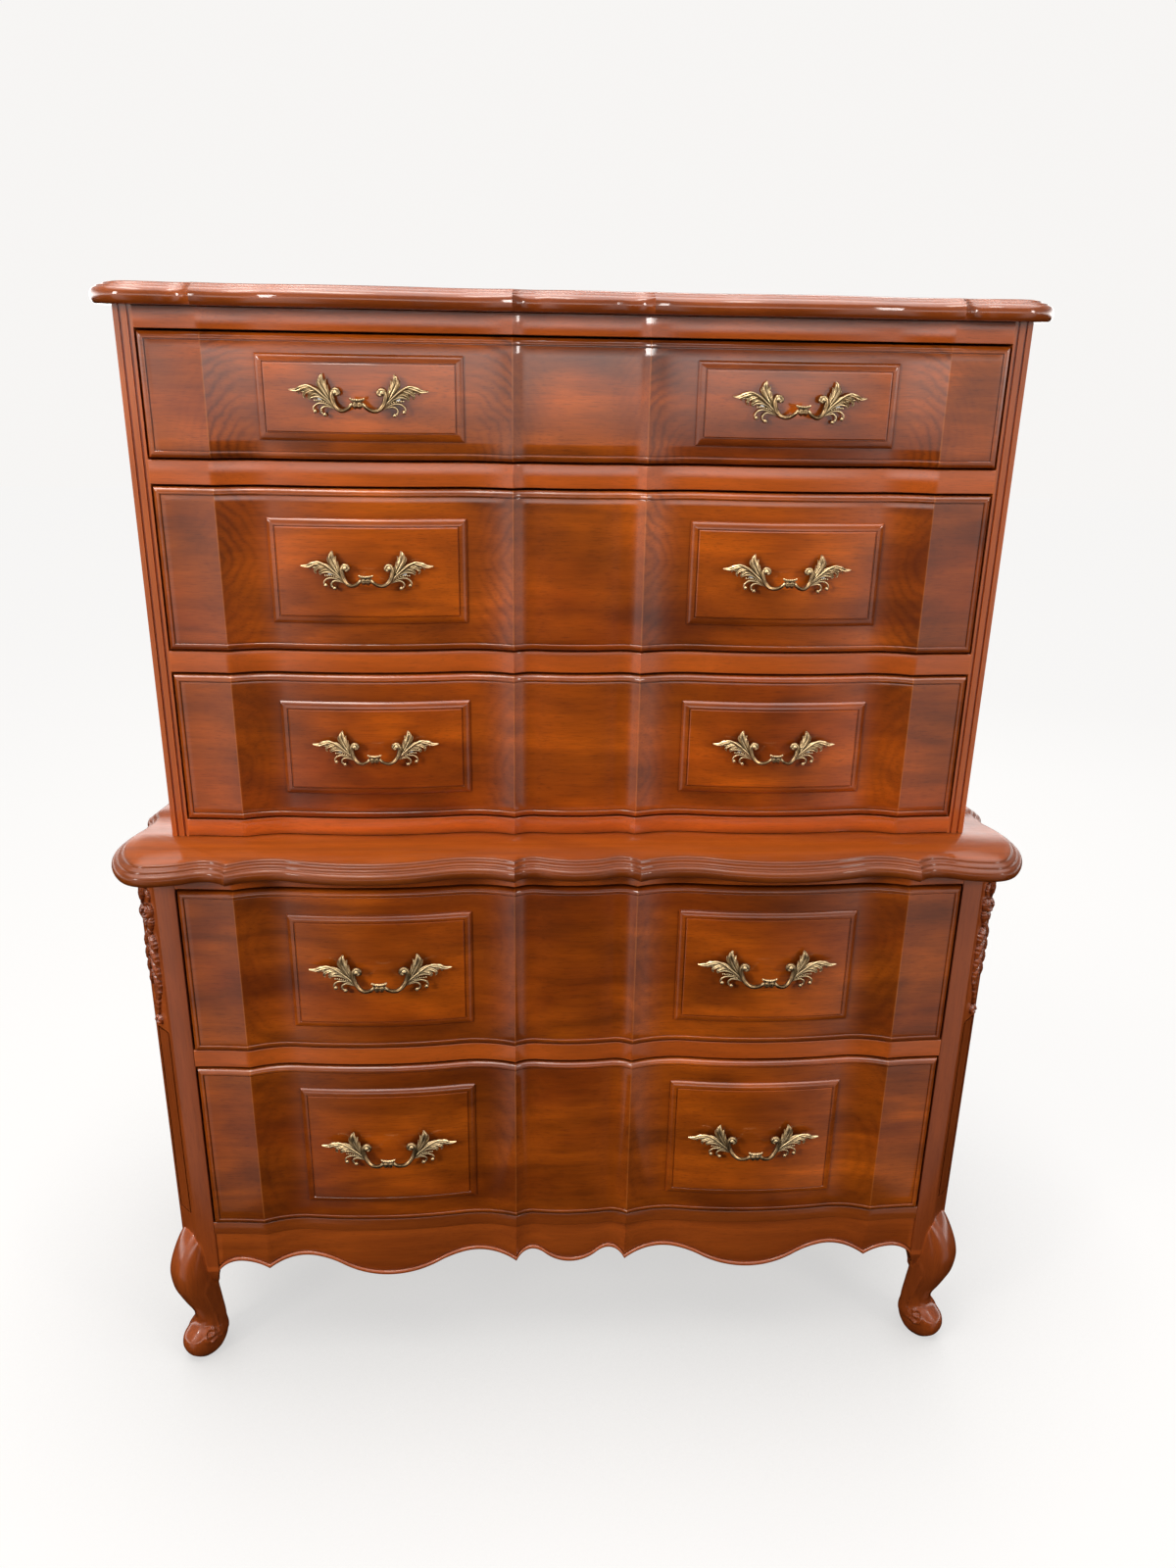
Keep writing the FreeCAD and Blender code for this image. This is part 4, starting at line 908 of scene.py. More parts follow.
def ballShape(centre, radius, sides=12, rings=7):
    vertices, faces = [], []
    for ring in range(1, rings):
        turn = math.pi * ring / rings
        for side in range(sides):
            way = 2 * math.pi * side / sides
            vertices.append(Vector(centre) + radius * Vector((math.sin(turn) * math.cos(way),
                                                              math.sin(turn) * math.sin(way),
                                                              math.cos(turn))))
    faces = gridFaces(rings - 1, sides, closed=True)
    start = len(vertices)
    vertices += [Vector(centre) + Vector((0, 0, radius)), Vector(centre) - Vector((0, 0, radius))]
    for side in range(sides):
        faces.append(((side + 1) % sides, side, start))
        base = (rings - 2) * sides
        faces.append((base + side, base + (side + 1) % sides, start + 1))
    return vertices, faces


def joinedShapes(shapes):
    vertices, faces = [], []
    for points, corners in shapes:
        start = len(vertices)
        vertices += points
        faces += [tuple(start + corner for corner in face) for face in corners]
    return vertices, faces


# Cast pulls, in millimetres from the middle of the pull, Y forward of the panel being minus.
# A stroke is x, z, stand, half width, half height at each of its points, for the left end.
pullStrokes = {
    "leaf": [
        # the long leaf with its turned-over lobes
        [(-27, -4.5, 5.2, 0.8, 0.9), (-33, 0.8, 5.4, 2.4, 1.3), (-39, 4.8, 5.2, 3.4, 1.5),
         (-45, 6.6, 4.8, 4.0, 1.6), (-51, 7.2, 4.2, 3.4, 1.5), (-56, 6.8, 3.4, 1.4, 1.0)],
        [(-45, 10.6, 6.0, 0.8, 1.0), (-50.5, 10.9, 5.8, 1.6, 1.4), (-56, 9.4, 5.0, 2.4, 1.5),
         (-61, 7.3, 4.2, 1.9, 1.2), (-67.4, 7.9, 3.4, 0.4, 0.5)],
        [(-38, 6.4, 5.8, 0.8, 1.0), (-44, 8.0, 6.0, 1.6, 1.4), (-50, 6.2, 5.4, 1.9, 1.4),
         (-53.2, 2.6, 4.6, 1.3, 1.1), (-51.8, -0.2, 4.2, 0.5, 0.6)],
        [(-36, 4.4, 5.6, 0.8, 1.0), (-41.5, 5.2, 5.8, 1.4, 1.3), (-46.4, 3.4, 5.2, 1.5, 1.3),
         (-48.6, 0.6, 4.6, 1.0, 1.0), (-47.2, -1.4, 4.2, 0.4, 0.5)],
        [(-48, 10.2, 5.4, 0.8, 1.0), (-54, 9.6, 5.2, 1.5, 1.3), (-57.8, 6.6, 4.4, 1.3, 1.1),
         (-58.2, 3.8, 3.8, 0.4, 0.5)],
        # the upright leaf
        [(-26, -4, 6.0, 0.8, 1.0), (-29.4, 2, 6.2, 2.3, 1.6), (-32.8, 8.4, 6.0, 3.6, 2.0),
         (-35.4, 14.2, 5.6, 3.9, 2.0), (-35.8, 19.0, 5.0, 2.7, 1.6), (-34.6, 23.0, 4.0, 0.5, 0.6)],
        [(-27.2, -1, 6.4, 0.8, 1.2), (-28.5, 4, 6.6, 1.7, 1.6), (-30.2, 8.6, 6.2, 1.9, 1.6),
         (-29.6, 12.6, 5.2, 0.5, 0.7)],
        [(-30.6, 6, 6.6, 0.8, 1.2), (-31.8, 10.5, 6.6, 1.6, 1.5), (-32.2, 14.5, 6.0, 1.5, 1.3),
         (-31.0, 18.0, 5.0, 0.4, 0.6)],
        [(-30, 3, 5.4, 0.8, 1.0), (-35.5, 8.8, 5.2, 1.7, 1.4), (-39.0, 13.4, 4.8, 1.5, 1.2),
         (-39.4, 17.4, 4.2, 0.4, 0.6)],
    ],
    "stem": [
        # ribs, and the two curls below
        [(-23.3, -9.6, 7.6, 0.5, 0.9), (-27.4, -3.6, 7.8, 0.9, 1.2), (-34, 2.6, 7.8, 0.9, 1.2),
         (-40.5, 7.8, 7.4, 0.9, 1.2), (-46, 10.9, 6.9, 0.9, 1.1), (-51, 12.1, 6.2, 0.8, 1.0),
         (-56.5, 10.6, 5.4, 0.6, 0.8)],
        [(-24.5, -8.2, 6.8, 0.6, 0.9), (-29, -3.4, 6.8, 1.0, 1.2), (-34, -0.2, 6.4, 1.1, 1.3),
         (-39.5, 1.5, 5.8, 1.1, 1.2), (-45, 0.9, 5.0, 0.9, 1.0), (-48, -0.9, 4.2, 0.4, 0.6)],
        [(-24.8, -8.6, 6.4, 0.7, 1.0), (-30, -5.8, 6.2, 0.9, 1.1), (-34.5, -4.5, 5.8, 1.0, 1.1),
         (-39.5, -4.7, 5.2, 1.0, 1.1), (-43.4, -7.2, 4.6, 0.9, 1.0), (-44.6, -10.6, 4.2, 0.9, 1.0),
         (-43.0, -12.3, 4.2, 0.8, 0.9)],
        [(-24, -9.2, 6.4, 0.7, 1.0), (-28.5, -7.8, 6.0, 0.9, 1.1), (-33, -7.2, 5.4, 1.0, 1.1),
         (-36.4, -9.4, 4.8, 0.9, 1.0), (-36.9, -13.0, 4.4, 0.9, 1.0),
         (-34.2, -15.4, 4.2, 0.8, 0.9)],
        # the bail, from the knop down, up and into its scroll
        [(-4.6, -3.4, 21.2, 1.8, 1.8), (-7.4, -6.8, 20.2, 1.9, 1.9), (-11, -9.5, 18.0, 2.0, 2.0),
         (-15.5, -10.9, 15.0, 2.1, 2.1), (-20, -9.5, 11.6, 2.2, 2.2), (-23.6, -5.2, 8.8, 2.3, 2.3),
         (-25.4, 0, 7.6, 2.4, 2.4), (-25.6, 4.4, 7.2, 2.4, 2.4), (-23.4, 8.2, 7.2, 2.4, 2.4),
         (-19.8, 7.6, 7.6, 2.2, 2.2), (-19.0, 4.6, 8.2, 1.8, 1.9), (-22.0, 3.6, 9.0, 1.4, 1.5)],
        [(-34, 1, 0.2, 4.6, 2.6), (-38, 3, 1.6, 4.2, 2.4), (-42, 5, 3.0, 3.4, 1.8)],
        [(-30, -2, 1.2, 3.6, 2.0), (-33, 2, 3.2, 3.0, 2.0), (-34, 7, 4.2, 2.2, 1.6)],
        # the knop's collar
        [(-7.0, 1.5, 21.4, 0.6, 0.8), (-6.0, 0.2, 21.6, 1.3, 1.3), (-3, -0.6, 22.0, 1.5, 1.5),
         (3, -0.6, 22.0, 1.5, 1.5), (6.0, 0.2, 21.6, 1.3, 1.3), (7.0, 1.5, 21.4, 0.6, 0.8)],
    ],
    "ball": [(-43.0, -12.2, 4.4, 2.0), (-33.8, -15.3, 4.4, 2.0), (-22.4, 5.8, 8.2, 2.7)],
}
pulls = {
    "spacing": 0.076, "fit": 0.0001, "boss": 0.0055,
    "heights": {1: 1.170, 2: 0.9995, 3: 0.807, 4: 0.560, 5: 0.3245},
    "stretch": {"upper": 1.0, "lower": 1.17},
    # the knop: its place, radius at each step of its left half, and its flutes
    "knopPlace": (-21.0, -4.8), "knopSides": 28, "knopFlatten": 0.85, "flutes": 7,
    "fluteDepth": 0.08, "fluteEnd": 4.4,
    "knop": [(-6.6, 0.4), (-6.4, 1.8), (-5.6, 2.2), (-4.9, 1.8), (-4.4, 2.6), (-3.5, 3.6),
             (-2.2, 4.0), (-1.0, 3.6), (-0.3, 2.9)],
}


def pullKnop():
    # two fluted lobes between neckings, lying along X under the collar
    profile = pulls["knop"] + [(-place, radius) for place, radius in reversed(pulls["knop"])]
    sides, (stand, level) = pulls["knopSides"], pulls["knopPlace"]
    vertices = []
    for place, radius in profile:
        depth = pulls["fluteDepth"] if abs(place) < pulls["fluteEnd"] else 0
        for turn in evenSteps(0, 2 * math.pi, sides)[:-1]:
            swell = radius * (1 + depth * math.cos(pulls["flutes"] * turn))
            vertices.append(Vector((place, stand + pulls["knopFlatten"] * swell * math.cos(turn),
                                    level + swell * math.sin(turn))))
    return vertices, tubeFaces(len(profile), sides)


def mirroredShape(points, faces):
    return ([Vector((-point[0], point[1], point[2])) for point in points],
            [tuple(reversed(face)) for face in faces])


def pullShape():
    shapes = []
    for kind, section, share in (("leaf", leafSection, 4), ("stem", roundSection, 5)):
        for stroke in pullStrokes[kind]:
            placed = [(x, -stand, z, wide, thick) for x, z, stand, wide, thick in stroke]
            shapes.append(sweptShape(placed, section, share))
    shapes += [ballShape((x, -stand, z), radius) for x, z, stand, radius in pullStrokes["ball"]]
    return joinedShapes(shapes + [mirroredShape(*shape) for shape in shapes] + [pullKnop()])


def pullPlace(case, side):
    line = frontLine(case)
    half, centre = pulls["spacing"] / 2, fronts["panelMiddle"]
    near = lineDepth(line, centre - half)
    slope = (lineDepth(line, centre + half) - near) / (2 * half)
    edges = [middle + hand * pulls["boss"] for middle in (-half, half) for hand in (-1, 0, 1)]
    seat = min(lineDepth(line, centre + edge) - slope * edge for edge in edges)
    front = frontPlane(case) - fronts["field"] - fronts["panelProud"]
    return front + seat - pulls["fit"], side * math.atan(slope)


def placedPull(points, case, side, height, stretch):
    front, turn = pullPlace(case, side)
    turned = Matrix.Rotation(turn, 4, "Z")
    return [turned @ Vector((point[0] * stretch / 1000, point[1] * (1 + (stretch - 1) / 2) / 1000,
                             point[2] * stretch / 1000))
            + Vector((side * fronts["panelMiddle"], front, height)) for point in points]


# Beads strung along a line by a node tree: the number and the size are its inputs.
def makeBeadTree():
    tree = bpy.data.node_groups.new("beadRow", "GeometryNodeTree")
    for label, kind in (("Geometry", "NodeSocketGeometry"), ("Spacing", "NodeSocketFloat"),
                        ("Radius", "NodeSocketFloat"), ("Finish", "NodeSocketMaterial")):
        tree.interface.new_socket(label, in_out="INPUT", socket_type=kind)
    tree.interface.new_socket("Geometry", in_out="OUTPUT", socket_type="NodeSocketGeometry")
    start, end = tree.nodes.new("NodeGroupInput"), tree.nodes.new("NodeGroupOutput")
    path = addNode(tree, "GeometryNodeMeshToCurve", {"Mesh": start.outputs["Geometry"]})
    spaced = addNode(tree, "GeometryNodeResampleCurve", {"Curve": path.outputs[0]}, mode="LENGTH")
    tree.links.new(start.outputs["Spacing"], spaced.inputs["Length"])
    bead = addNode(tree, "GeometryNodeMeshIcoSphere", {"Radius": start.outputs["Radius"],
                                                       "Subdivisions": 2})
    rows = addNode(tree, "GeometryNodeInstanceOnPoints", {"Points": spaced.outputs[0],
                                                          "Instance": bead.outputs[0]})
    real = addNode(tree, "GeometryNodeRealizeInstances", {"Geometry": rows.outputs[0]})
    smooth = addNode(tree, "GeometryNodeSetShadeSmooth", {"Geometry": real.outputs[0]})
    finish = addNode(tree, "GeometryNodeSetMaterial", {"Geometry": smooth.outputs[0],
                                                       "Material": start.outputs["Finish"]})
    tree.links.new(finish.outputs[0], end.inputs[0])
    return tree


beadTree = makeBeadTree()
beads = {"spacing": 0.0021, "radius": 0.00100,
         "stem": [(-29.3, -4.0, 7.0), (-34.9, -2.5, 6.6), (-38.6, -1.8, 6.2), (-42.8, -1.9, 5.4)],
         "crown": [(-6.2, 0.8, 22.6), (-3.1, 0.0, 23.3), (0, -0.2, 23.5), (3.1, 0.0, 23.3),
                   (6.2, 0.8, 22.6)]}


def makeBeads(number, lines):
    mesh = bpy.data.meshes.new(f"beadLines{number}")
    vertices, edges = [], []
    for line in lines:
        start = len(vertices)
        vertices += line
        edges += [(start + k, start + k + 1) for k in range(len(line) - 1)]
    mesh.from_pydata([tuple(vertex) for vertex in vertices], edges, [])
    holder = linkObject(f"beadLines{number}", mesh)
    modifier = holder.modifiers.new("beads", "NODES")
    modifier.node_group = beadTree
    identifiers = {socket.name: socket.identifier for socket in beadTree.interface.items_tree
                   if socket.in_out == "INPUT"}
    modifier[identifiers["Spacing"]] = beads["spacing"]
    modifier[identifiers["Radius"]] = beads["radius"]
    modifier[identifiers["Finish"]] = antiqueBrass
    shape = holder.evaluated_get(bpy.context.evaluated_depsgraph_get())
    plain = bpy.data.meshes.new_from_object(shape)
    holder.modifiers.remove(modifier)
    bpy.data.objects.remove(holder)
    plain.name = f"pullBeads{number}"
    piece = linkObject(f"pullBeads{number}", plain)
    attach(piece, f"drawer_{number}")
    return piece


def makePulls(number):
    caseName = fronts[number][0]
    case, stretch = cases[caseName], pulls["stretch"][caseName]
    points, faces = pullShape()
    height = pulls["heights"][number]
    shapes, lines = [], []
    for side in (-1, 1):
        shapes.append((placedPull(points, case, side, height, stretch), faces))
        for row, hands in (("stem", (-1, 1)), ("crown", (1,))):
            for hand in hands:
                strung = smoothLine([(hand * x, -stand, z) for x, z, stand in beads[row]], 4)
                lines.append(placedPull(strung, case, side, height, stretch))
    vertices, corners = joinedShapes(shapes)
    makePiece(f"castPulls{number}", vertices, corners, antiqueBrass, f"drawer_{number}",
              [f"drawer_{number}_pulls"], 55)
    makeBeads(number, lines)


for number in range(1, 6):
    makePulls(number)
print("pulls made")


# Front legs: the canted post above, and a cabriole leg that ends in a carved scroll foot.
legs = {
    "cant": (0.471, -0.203), "cantWidth": 0.024, "halfLower": 0.483, "opening": 0.436,
    "front": -0.215, "postDepth": 0.050, "top": 0.681, "bottom": 0.138, "ease": 0.0016,
    "frameLow": 0.224, "frameHigh": 0.480, "frameMargin": 0.0052, "frameCut": 0.0020,
    "bracket": {"inset": 0.015, "top": 0.145, "height": 0.052, "steps": 8},
    # height, inset from the cant, length on the diagonal, width across it, in millimetres
    "sections": [(0, 5.6, 15.5, 12.5), (5, 5.2, 20.5, 16), (10, 4.6, 24.5, 18),
                 (16, 4.8, 27.5, 19.4), (23, 5.4, 29, 20.2), (32, 7.2, 28.4, 20.2),
                 (40, 10.4, 24, 18.6), (46, 13.2, 20.4, 17.6), (53, 14.9, 18.2, 17.6),
                 (62, 14.2, 17.9, 17.9), (72, 11.8, 19, 18.8), (85, 8.0, 21.2, 20.6),
                 (100, 4.0, 23.4, 22), (115, 1.2, 25.8, 23), (135, 0.2, 27.2, 23.6),
                 (150, 0.8, 25.6, 22.6), (165, 4, 23, 21.3), (180, 8.6, 19.4, 19.6),
                 (190, 12.6, 15.6, 17.6), (196, 15.5, 12, 15.5)],
    "square": 2.35, "around": 88,
    # the carved scroll on both faces of the leg: place along the diagonal, height
    "groove": [(-21, 134), (-14, 127), (-7, 120.5), (-2.2, 112), (-1.2, 103), (-4.2, 90),
               (-9, 74), (-13, 58), (-14.6, 45), (-13.2, 35), (-8.8, 28.4), (-2.4, 26.2),
               (3.0, 29.6), (4.6, 36.8), (1.6, 43), (-3.8, 44.4), (-7.0, 40.2), (-6.0, 36)],
    "eye": (-2.0, 36), "eyeRadius": 3.6, "eyeRise": 2.2,
    "grooveDepth": 2.0, "grooveWidth": 1.9, "bandRise": 1.5,
    "scrollLow": 0.012, "scrollHigh": 0.150, "bandLow": 0.028, "bandRun": 0.002,
    "bandAbove": 0.048, "bandOutside": -0.0125, "flankStart": 0.35, "flankRun": 0.3,
    "frameStep": 0.0002, "cornerEase": 0.0008, "levels": (0.19, 0.54, 0.61),
}
diagonal = math.sqrt(0.5)


def nearLine(line, s, z):
    best, way = 1e9, 0
    for (a, b), (c, d) in zip(line, line[1:]):
        run, rise = c - a, d - b
        share = max(0, min(1, ((s - a) * run + (z - b) * rise) / (run * run + rise * rise)))
        across, up = s - a - share * run, z - b - share * rise
        distance = math.hypot(across, up)
        if distance < best:
            best, way = distance, run * up - rise * across
    return best, way


def legBody():
    line = [(s / 1000, z / 1000) for s, z in smoothLine(legs["groove"], 4)]
    upper = [point for point in line
             if point[1] > legs["bandAbove"] or point[0] < legs["bandOutside"]]
    eye = [value / 1000 for value in legs["eye"]]
    power, around = 2 / legs["square"], legs["around"]
    vertices = []
    rows = [[value / 1000 for value in row] for row in smoothLine(legs["sections"], 5)]
    for height, inset, length, width in rows:
        for part in range(around):
            turn = 2 * math.pi * part / around
            s = math.copysign(abs(math.cos(turn)) ** power, math.cos(turn)) * length - inset
            t = math.copysign(abs(math.sin(turn)) ** power, math.sin(turn)) * width
            sideness = min(1, max(0, (abs(t) / width - legs["flankStart"]) / legs["flankRun"]))
            if legs["scrollLow"] < height < legs["scrollHigh"] and sideness > 0:
                aside = nearLine(line, s, height)[0] * 1000 / legs["grooveWidth"]
                cut = legs["grooveDepth"] / 1000 * math.exp(-aside ** 2)
                band = 0
                if height > legs["bandLow"]:
                    upperDistance, upperWay = nearLine(upper, s, height)
                    if upperWay < 0:
                        band = legs["bandRise"] / 1000 * min(1, upperDistance / legs["bandRun"])
                button = math.hypot(s - eye[0], height - eye[1]) * 1000 / legs["eyeRadius"]
                rise = legs["eyeRise"] / 1000 * max(0, 1 - button ** 2)
                t += math.copysign(sideness * (band + rise - cut), t)
            vertices.append((s, t, height))
    cx, cy = legs["cant"]
    placed = [Vector((cx + diagonal * (s + t), cy + diagonal * (t - s), z)) for s, t, z in vertices]
    return placed, tubeFaces(len(rows), around)


def postBody():
    # plan of the post, anticlockwise from the inner front corner, its corners eased
    inner, half, front = legs["opening"], legs["halfLower"], legs["front"]
    cant, rear, ease = legs["cantWidth"], legs["front"] + legs["postDepth"], legs["ease"]
    start, end = Vector((half - cant, front)), Vector((half, front + cant))
    along = (end - start).normalized()
    length = (end - start).length
    margin, cut, step = legs["frameMargin"], legs["frameCut"], legs["frameStep"]
    corner = legs["cornerEase"]
    rim = [margin - step, margin, margin + cut, margin + cut + step]
    places = [ease, *rim, *[length - place for place in reversed(rim)], length - ease]
    plan = [(Vector((inner + corner, front)), None), (Vector((half - cant - ease, front)), None),
            (Vector((half - cant - 0.3 * ease, front + 0.16 * ease)), None)]
    plan += [(start + along * place, place) for place in places]
    plan += [(Vector((half - 0.16 * ease, front + cant + 0.3 * ease)), None),
             (Vector((half, front + cant + ease)), None), (Vector((half, rear)), None),
             (Vector((inner, rear)), None), (Vector((inner, front + corner)), None)]
    low, high = legs["frameLow"], legs["frameHigh"]
    below, *above = legs["levels"]
    levels = [legs["bottom"], below, low - step, low, low + cut, low + cut + step,
              *evenSteps(low + cut, high - cut, 8)[1:-1],
              high - cut - step, high - cut, high, high + step, *above, legs["top"]]
    inward = Vector((-diagonal, diagonal))
    vertices = []
    for level in levels:
        for place, along in plan:
            sunk = 0
            if along is not None and low - 1e-6 < level < high + 1e-6:
                edge = min(along - margin, length - margin - along, level - low, high - level)
                sunk = cut if -1e-6 < edge < cut + 1e-6 else 0
            spot = place + inward * sunk
            vertices.append(Vector((spot.x, spot.y, level)))
    return vertices, tubeFaces(len(levels), len(plan))


def bracketBody():
    # the block that joins the post to the leg behind the knee
    inner, half, front = legs["opening"], legs["halfLower"], legs["front"]
    cant, rear = legs["cantWidth"], legs["front"] + legs["postDepth"]
    plan = [(inner, front), (half - cant, front), (half, front + cant), (half, rear), (inner, rear)]
    bracket = legs["bracket"]
    centre = (legs["cant"][0] - diagonal * bracket["inset"],
              legs["cant"][1] + diagonal * bracket["inset"])
    vertices = []
    for part in evenSteps(0, 1, bracket["steps"]):
        share = 0.5 * (1 - math.cos(math.pi * part)) / 2
        level = bracket["top"] - bracket["height"] * part
        vertices += [Vector((x + (centre[0] - x) * share, y + (centre[1] - y) * share, level))
                     for x, y in plan]
    return vertices, tubeFaces(bracket["steps"] + 1, len(plan))


def makeLegs():
    vertices, faces = joinedShapes([legBody(), postBody(), bracketBody()])
    for hand, side in (("right", 1), ("left", -1)):
        placed = [(side * point[0], point[1], point[2]) for point in vertices]
        makePiece(f"frontLeg{hand.capitalize()}", placed, faces, legUpright, "carcass",
                  [f"front_leg_{hand}"], 38)


makeLegs()
print("front legs made")


# Corner carvings: leaves laid over one another as a relief on the canted face.
carving = {
    "low": 0.480, "high": 0.669, "half": 0.0135, "step": 0.0006,
    # start, end, half width, height, in millimetres, x towards the outer side of the post
    "leaves": [
        ((-2, 668), (3, 646), 3.6, 4.2), ((4, 664), (9, 636), 4.6, 5.4),
        ((-4, 658), (-6, 642), 3.4, 4.4), ((8, 636), (9, 618), 4.6, 6.2),
        ((-6, 640), (-9, 626), 3.6, 5.6), ((5, 622), (3, 606), 4.4, 6.0),
        ((-7, 626), (-5, 608), 4.6, 7.0), ((0, 612), (-1, 600), 3.4, 4.6),
        ((0, 606), (2, 590), 4.0, 5.0),
        ((4, 604), (10, 580), 4.4, 5.2), ((-1, 602), (-10, 581), 5.2, 6.8),
        ((5, 588), (10.5, 564), 4.2, 5.2), ((0, 588), (-10.5, 563), 5.0, 6.8),
        ((5, 572), (10, 549), 4.0, 5.0), ((0, 572), (-10.5, 547), 4.8, 6.6),
        ((4, 556), (9, 534), 3.8, 4.8), ((0, 556), (-9.5, 532), 4.6, 6.2),
        ((0, 545), (0, 515), 6.2, 4.6), ((0, 525), (2, 494), 4.4, 4.8),
    ],
    "rings": [((-1, 631), 5.6, 3.0, 8.2), ((3.0, 492), 3.6, 2.6, 5.4)],
    # how a leaf bends, narrows and is notched, its veins, and the petals of a ring
    "ground": -1.2, "ringFloor": 1.2, "bend": 0.14, "bendShare": 0.35, "tipWidth": 0.45,
    "tipHeight": 0.55, "notches": 9, "notchDepth": 0.10, "vein": 0.26, "veinWidth": 0.55,
    "sideVein": 0.10, "sideVeins": 3.1, "petals": 5, "petalDepth": 0.12,
}


def reliefHeight(u, z):
    look = carving
    best = look["ground"]
    for (a, b), (c, d), half, height in look["leaves"]:
        run, rise = c - a, d - b
        length = math.hypot(run, rise)
        along = ((u - a) * run + (z - b) * rise) / length ** 2
        if not 0 < along < 1:
            continue
        bend = look["bend"] * length * math.sin(math.pi * along) * (1 if run > 0 else -1)
        across = ((u - a) * rise - (z - b) * run) / length + look["bendShare"] * bend
        belly = math.sin(math.pi * min(1, 0.25 + 0.8 * along))
        notch = look["notchDepth"] * math.sin(look["notches"] * math.pi * along)
        width = (half * (look["tipWidth"] + (1 - look["tipWidth"]) * belly)
                 * (1 - along ** 5) * (1 + notch))
        if abs(across) >= width:
            continue
        share = across / width
        arch = look["tipHeight"] + (1 - look["tipHeight"]) * math.sin(math.pi * along ** 0.8)
        crown = math.sqrt(1 - share ** 2) * arch
        vein = (look["vein"] * math.exp(-(across / look["veinWidth"]) ** 2)
                + look["sideVein"] * math.cos(look["sideVeins"] * math.pi * share) ** 2)
        best = max(best, height * (crown - vein * crown))
    for (a, b), middle, thick, height in look["rings"]:
        distance = math.hypot(u - a, z - b)
        across = (distance - middle) / thick
        if abs(across) < 1:
            wave = math.cos(look["petals"] * math.atan2(z - b, u - a))
            petal = 1 - look["petalDepth"] * (1 - wave)
            best = max(best, height * math.sqrt(1 - across ** 2) * petal)
        elif distance < middle:
            best = max(best, look["ringFloor"])
    return best


def makeCarvings():
    cx, cy = legs["cant"]
    columns = int(2 * carving["half"] / carving["step"]) + 1
    rows = int((carving["high"] - carving["low"]) / carving["step"]) + 1
    vertices = []
    for row in range(rows):
        z = carving["low"] + (carving["high"] - carving["low"]) * row / (rows - 1)
        for column in range(columns):
            u = carving["half"] * (2 * column / (columns - 1) - 1)
            rim = row in (0, rows - 1) or column in (0, columns - 1)
            rise = (carving["ground"] if rim else reliefHeight(u * 1000, z * 1000)) / 1000
            vertices.append(Vector((cx + diagonal * (u + rise), cy + diagonal * (u - rise), z)))
    faces = gridFaces(rows, columns)
    back = len(vertices)
    vertices += [vertices[index] + 0.001 * Vector((-diagonal, diagonal, 0))
                 for index in (0, columns - 1, rows * columns - 1, (rows - 1) * columns)]
    sides = [list(range(columns)), [row * columns + columns - 1 for row in range(rows)],
             list(reversed(range((rows - 1) * columns, rows * columns))),
             [row * columns for row in reversed(range(rows))]]
    for order, side in enumerate(sides):
        faces.append(tuple(side) + (back + (order + 1) % 4, back + order))
    faces.append((back, back + 1, back + 2, back + 3))
    points, corners = joinedShapes([(vertices, faces), mirroredShape(vertices, faces)])
    makePiece("cornerCarvings", points, corners, legUpright, "carcass",
              ["corner_carvings"], 50)


makeCarvings()
print("carvings made")


# The pieces that keep the frame's own shape take their finish here.
kept = {"upper_back_panel": backBoard, "lower_back_panel": backBoard,
        "upper_drawer_runners": innerBack, "lower_drawer_runners": innerBack}
for hand in ("right", "left"):
    kept[f"upper_post_{hand}"] = postUpright
    for board in ("upper_side", "lower_side", "rear_leg"):
        kept[f"{board}_{hand}"] = caseUpright
for number in range(1, 6):
    kept.update({f"drawer_{number}_side_right": innerBack, f"drawer_{number}_side_left": innerBack,
                 f"drawer_{number}_back": innerAcross, f"drawer_{number}_bottom": innerAcross,
                 f"drawer_{number}_pull_bolts": zincSteel})
for node, material in kept.items():
    for place in nodes[node].material_slots:
        place.material = material
print("kept pieces finished")


# Floor, light and camera.
stageLook = {"seenRoom": 0.93, "floor": (0.12, 0.115, 0.11), "floorCloud": (0.13, 0.13, 0.125),
             "floorReach": 9, "floorTint": (1.0, 0.99, 0.98, 1), "floorGlow": 0.912,
             "shadowDepth": 0.34, "shadowReach": 0.42, "roomLight": 0.10,
             "daylight": (1.0, 0.985, 0.97, 1)}


def stageSheet(name, corners, material):
    mesh = bpy.data.meshes.new(name)
    mesh.from_pydata(corners, [], [(0, 1, 2, 3)])
    mesh.materials.append(material)
    return linkObject(name, mesh)


def makeFloor():
    material, tree, shader, place = newMaterial("paleFloorPaint")
    cloud = noiseNode(tree, place, 3.0, 4.0, 0.6)
    # the soft shade where the feet meet the floor
    clear = recessNode(tree, stageLook["shadowReach"], 8)
    glow = stageLook["floorGlow"]
    plugIn(tree, shader, {
        "Base Color": mixNode(tree, cloud, tone(stageLook["floor"]), tone(stageLook["floorCloud"])),
        "Roughness": rangeNode(tree, cloud, 0.3, 0.7, 0.75, 0.85), "Specular IOR Level": 0,
        "Emission Strength": rangeNode(tree, clear, 0.45, 1.0,
                                       (1 - stageLook["shadowDepth"]) * glow, glow),
        "Emission Color": stageLook["floorTint"]})
    reach = stageLook["floorReach"]
    floor = stageSheet("paleFloor", [(-reach, -reach, 0), (reach, -reach, 0), (reach, reach, 0),
                                     (-reach, reach, 0)], material)
    floor.visible_diffuse = floor.visible_glossy = False


